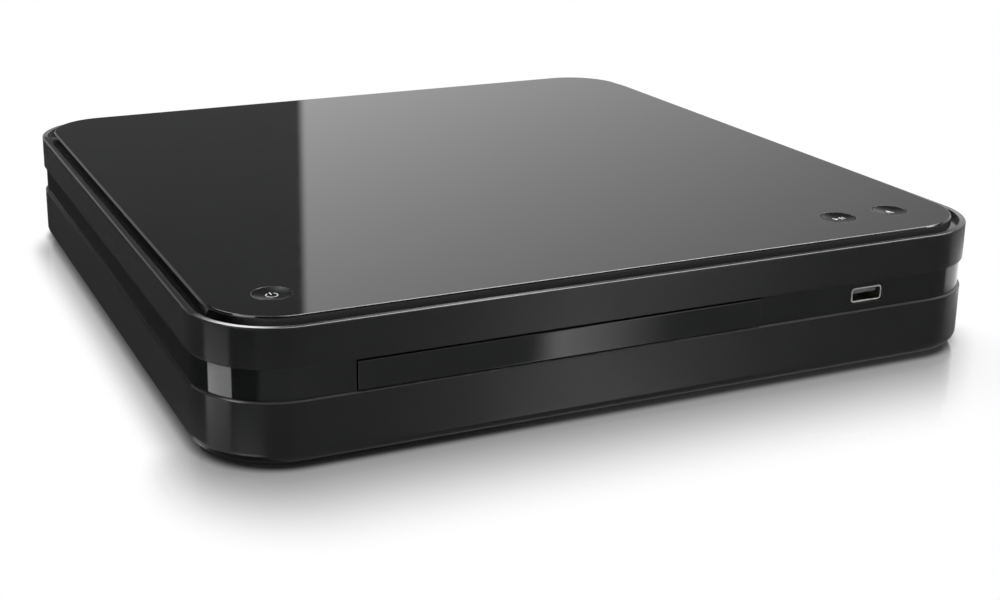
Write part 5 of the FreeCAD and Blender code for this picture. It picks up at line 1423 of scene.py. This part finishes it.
@dataclass(frozen=True)
class Card:
    """A lit card that only reflections see, between angles in degrees."""

    power: float
    turn: Pair
    turn_soft: float
    rises: tuple
    rise_soft: float

    def light(self, graph: Graph, turn: Socket, rise: Socket, lit: Socket) -> Socket:
        """Adds the card to the surroundings.

        Args:
            graph: The world's nodes.
            turn: Degrees round from the back, towards the right.
            rise: Degrees above the table.
            lit: The brightness so far.

        Returns:
            The brightness with the card.
        """
        strips = [graph.pulse(rise, low, high, self.rise_soft) for low, high in self.rises]
        tall = strips[0]
        for strip in strips[1:]:
            tall = graph.math("ADD", tall, strip)
        shown = graph.math("MULTIPLY", graph.pulse(turn, *self.turn, self.turn_soft), tall)
        return graph.math("MULTIPLY_ADD", shown, self.power, lit)


@dataclass
class Studio:
    """The camera, the pale floor, the surroundings and the lamps."""

    eye: Point = (-0.26539, -0.57388, 0.21562)
    tilt: float = 16.041
    turn: float = -22.592
    focal: float = 56.53
    sensor: float = 36.0
    shift: Pair = (0.100, -0.100)
    floor_colour: Colour = (0.86, 0.86, 0.86)
    floor_half: float = 3.0
    floor_cells: int = 8
    floor_mirror: float = 0.8
    floor_share: float = 0.78
    floor_grain: float = 30.0
    floor_roughness: Pair = (0.03, 0.06)
    half_way: Pair = (-0.01, 0.01)
    corner: float = 0.03
    straight: Point = (0.115, 0.107, 0.0)
    fade_centre: Point = (-0.004, -0.010, 0.0)
    side_fade: float = 0.0165
    front_fade: float = 0.061
    centres: Point = (0.12, 0.12, 0.0)
    # Reach of the painted contact shadow round the footprint.
    contact: Pair = (-2.7 * MM, 2.5 * MM)
    lamps: tuple = (
        Softbox("overhead_softbox", (0.42, 0.12, 1.0), (0.0, 0.0, 0.03), (1.0, 0.5), 10.0),
        Softbox("left_softbox", (-0.75, -0.15, 0.9), (0.0, 0.0, 0.03), (0.4, 0.5), 3.0),
    )
    ambient: float = 0.25
    flag_left: float = 8.8
    flag_edge: float = 18.9
    flag_soft: float = 0.4
    flag_tone: float = 0.125
    cloth_end: float = 42.5
    cloth_tones: Pair = (1.06, 0.44)
    cloth_left: float = 0.55
    bright_from: Pair = (42.3, 44.0)
    roof: Pair = (24.0, 30.0)
    roof_tone: float = 0.06
    panel: float = 10.0
    panel_x: tuple = (0.10, 0.78, 0.1)
    panel_y: tuple = (-0.26, 0.44, 0.08)
    panel_low: float = 0.55
    right_turn: Pair = (130.0, 165.0)
    right_tones: Pair = (0.17, 0.31)
    dark_turn: tuple = (-138.0, 28.0, 6.0)
    dark_tone: float = 0.03
    wrapped_turn: Pair = (-137.0, -143.0)
    wrapped_tone: float = 0.28
    front_edge: Pair = (152.3, 151.1)
    front_turn: Pair = (147.0, 151.4)
    front_rise: tuple = (-32.0, -4.0, 4.0)
    front_card: float = 2.1
    corner_card: Card = Card(14.0, (-12.0, 16.0), 8.0, ((38.5, 56.0),), 4.0)
    side_cards: tuple = (
        Card(1.6, (145.5, 151.0), 4.0, ((-36.0, -23.0), (-16.5, -3.0)), 2.0),
        Card(0.65, (-146.0, -2.0), 8.0, ((-42.0, -26.0), (-11.5, -2.0)), 2.0),
        Card(1.1, (-139.0, -106.0), 5.0, ((-42.0, -26.0), (-11.5, -2.0)), 2.0),
        Card(3.0, (-103.0, -65.0), 2.0, ((-23.5, -21.7),), 0.5),
        Card(1.15, (47.0, 104.0), 10.0, ((-18.2, -16.8),), 0.5),
    )

    def build(self) -> None:
        """Sets the whole studio up."""
        scene = bpy.context.scene
        scene.view_settings.view_transform = "Standard"
        lens = bpy.data.cameras.new("camera")
        lens.sensor_width = self.sensor
        lens.lens = self.focal
        lens.shift_x, lens.shift_y = self.shift
        camera = bpy.data.objects.new("camera", lens)
        camera.location = self.eye
        camera.rotation_euler = (math.radians(90 - self.tilt), 0, math.radians(self.turn))
        scene.collection.objects.link(camera)
        scene.camera = camera
        self.floor()
        self.surroundings()
        for lamp in self.lamps:
            lamp.light()

    def beyond(self, graph: Graph, where: Socket, centres: Point) -> Socket:
        """Finds how far a point lies past a rectangle."""
        past = graph.vector("SUBTRACT", graph.vector("ABSOLUTE", where), centres)
        return graph.vector("MAXIMUM", past, (0, 0, 0))

    def floor(self) -> None:
        """Lays the pale floor, which turns to plain white away from the object and has a painted contact
        shadow round its footprint.
        """
        bm = bmesh.new()
        bmesh.ops.create_grid(bm, x_segments=self.floor_cells, y_segments=self.floor_cells,
                              size=self.floor_half)
        mesh = bpy.data.meshes.new("floor")
        bm.to_mesh(mesh)
        bm.free()
        floor = bpy.data.objects.new("floor", mesh)
        bpy.context.scene.collection.objects.link(floor)
        made = bpy.data.materials.new("floor_pale")
        made.use_nodes = True
        made.node_tree.nodes.clear()
        graph = Graph(made.node_tree)
        where = graph.add("ShaderNodeTexCoord").outputs["Object"]
        grain = graph.noise(where, self.floor_grain, 3.0)
        rough = graph.span(grain, *Effects.NOISE, *self.floor_roughness)
        real = graph.add("ShaderNodeBsdfPrincipled",
                         {"Base Color": self.floor_colour + (1.0,), "Roughness": rough,
                          "Metallic": self.floor_mirror})
        white = graph.add("ShaderNodeEmission", {"Color": (1, 1, 1, 1), "Strength": 1.0})
        flat = graph.vector("MULTIPLY", where, (1, 1, 0))
        past = self.beyond(graph, graph.vector("SUBTRACT", flat, self.fade_centre), self.straight)
        depth = graph.axes(where)["Y"]
        deep = graph.span(depth, *self.half_way, self.front_fade, self.side_fade)
        fades = graph.add("ShaderNodeCombineXYZ", {0: self.side_fade, 1: deep}).outputs[0]
        width = graph.length(graph.vector("MULTIPLY", graph.vector("NORMALIZE", past), fades))
        reach = graph.math("DIVIDE", graph.math("SUBTRACT", graph.length(past), self.corner), width)
        fade = graph.span(reach, 0.0, 1.0, 1 - self.floor_share, 1.0, smooth=True)
        # Painted contact shadow: near the footprint the white is taken away, so the darker real floor, with
        # its real reflection and shadow, shows.
        near = graph.math("SUBTRACT", graph.length(self.beyond(graph, flat, self.centres)), self.corner)
        fade = graph.math("MULTIPLY", fade, graph.span(near, *self.contact, smooth=True))
        seen = graph.add("ShaderNodeLightPath").outputs["Is Camera Ray"]
        share = graph.math("MULTIPLY", fade, seen)
        both = graph.add("ShaderNodeMixShader", {0: share, 1: real.outputs[0], 2: white.outputs[0]})
        glass = graph.add("ShaderNodeBsdfTransparent")
        mirrored = graph.add("ShaderNodeLightPath").outputs["Is Glossy Ray"]
        under = graph.add("ShaderNodeNewGeometry").outputs["Backfacing"]
        through = graph.math("MAXIMUM", mirrored, under)
        table = graph.add("ShaderNodeMixShader", {0: through, 1: both.outputs[0], 2: glass.outputs[0]})
        graph.add("ShaderNodeOutputMaterial", {"Surface": table.outputs[0]})
        mesh.materials.append(made)

    def surroundings(self) -> None:
        """Makes the white studio that the camera sees and the lit cards that only reflections see."""
        world = bpy.context.scene.world or bpy.data.worlds.new("studio")
        bpy.context.scene.world = world
        world.use_nodes = True
        world.node_tree.nodes.clear()
        graph = Graph(world.node_tree)
        axes = graph.axes(graph.add("ShaderNodeTexCoord").outputs["Generated"])
        turn = graph.math("DEGREES", graph.math("ARCTAN2", axes["X"], axes["Y"]))
        rise = graph.math("DEGREES", graph.math("ARCSINE", axes["Z"]))
        above = graph.span(rise, -1.0, 1.0)
        low = self.low_cards(graph, turn, rise)
        reflected = graph.blend(above, low, self.high_cards(graph, turn, rise, axes))
        path = graph.add("ShaderNodeLightPath").outputs
        mirror = graph.math("MAXIMUM", path["Is Glossy Ray"], path["Is Transmission Ray"])
        dim = graph.blend(mirror, self.ambient, reflected)
        strength = graph.blend(path["Is Camera Ray"], dim, 1.0)
        back = graph.add("ShaderNodeBackground", {"Color": (1, 1, 1, 1), "Strength": strength})
        graph.add("ShaderNodeOutputWorld", {"Surface": back.outputs[0]})

    def high_cards(self, graph: Graph, turn: Feed, rise: Feed, axes: Outputs) -> Socket:
        """Sets the backdrop, its dark flag and the two panels overhead.

        Args:
            graph: The world's nodes.
            turn: Degrees round from the back, towards the right.
            rise: Degrees above the table.
            axes: The direction's three parts.

        Returns:
            The brightness above the table.
        """
        flag = graph.pulse(turn, self.flag_left, self.flag_edge, self.flag_soft)
        slope = graph.span(turn, self.flag_edge, self.cloth_end, *self.cloth_tones)
        slope = graph.math("MAXIMUM", slope, graph.span(turn, *self.bright_from))
        left = graph.span(turn, self.flag_left - 1.0, self.flag_left, self.cloth_left, 1.0)
        cloth = graph.blend(flag, graph.math("MULTIPLY", slope, left), self.flag_tone)
        room = graph.blend(graph.span(rise, *self.roof, smooth=True), cloth, self.roof_tone)
        across = graph.pulse(axes["X"], *self.panel_x)
        along = graph.pulse(axes["Y"], *self.panel_y)
        high = graph.math("GREATER_THAN", axes["Z"], self.panel_low)
        panel = graph.math("MULTIPLY", graph.math("MULTIPLY", across, along), high)
        lit = graph.math("MULTIPLY_ADD", panel, self.panel, room)
        return self.corner_card.light(graph, turn, rise, lit)

    def low_cards(self, graph: Graph, turn: Feed, rise: Feed) -> Socket:
        """Sets what the upright faces reflect from below the table's edge.

        Args:
            graph: The world's nodes.
            turn: Degrees round from the back, towards the right.
            rise: Degrees above the table.

        Returns:
            The brightness below the table.
        """
        right = graph.span(turn, *self.right_turn, *self.right_tones)
        base = graph.blend(graph.pulse(turn, *self.dark_turn), right, self.dark_tone)
        base = graph.math("MAXIMUM", base, graph.span(turn, *self.wrapped_turn, 0.0, self.wrapped_tone))
        edge = graph.span(turn, *self.front_edge, smooth=True)
        front = graph.math("MULTIPLY", edge, graph.span(turn, *self.front_turn))
        front = graph.math("MULTIPLY", front, graph.pulse(rise, *self.front_rise))
        lit = graph.math("MULTIPLY_ADD", front, self.front_card, base)
        for card in self.side_cards:
            lit = card.light(graph, turn, rise, lit)
        return lit


def main() -> None:
    """Builds the studio, and dresses and builds each sub-assembly."""
    logging.basicConfig(level=logging.INFO, format="%(name)s %(message)s")
    Studio().build()
    for part in (Casing(), FrontControls(), TrayDrive(), Electronics(), RearConnections()):
        part.dress()
        part.build()


if __name__ == "__main__":
    main()
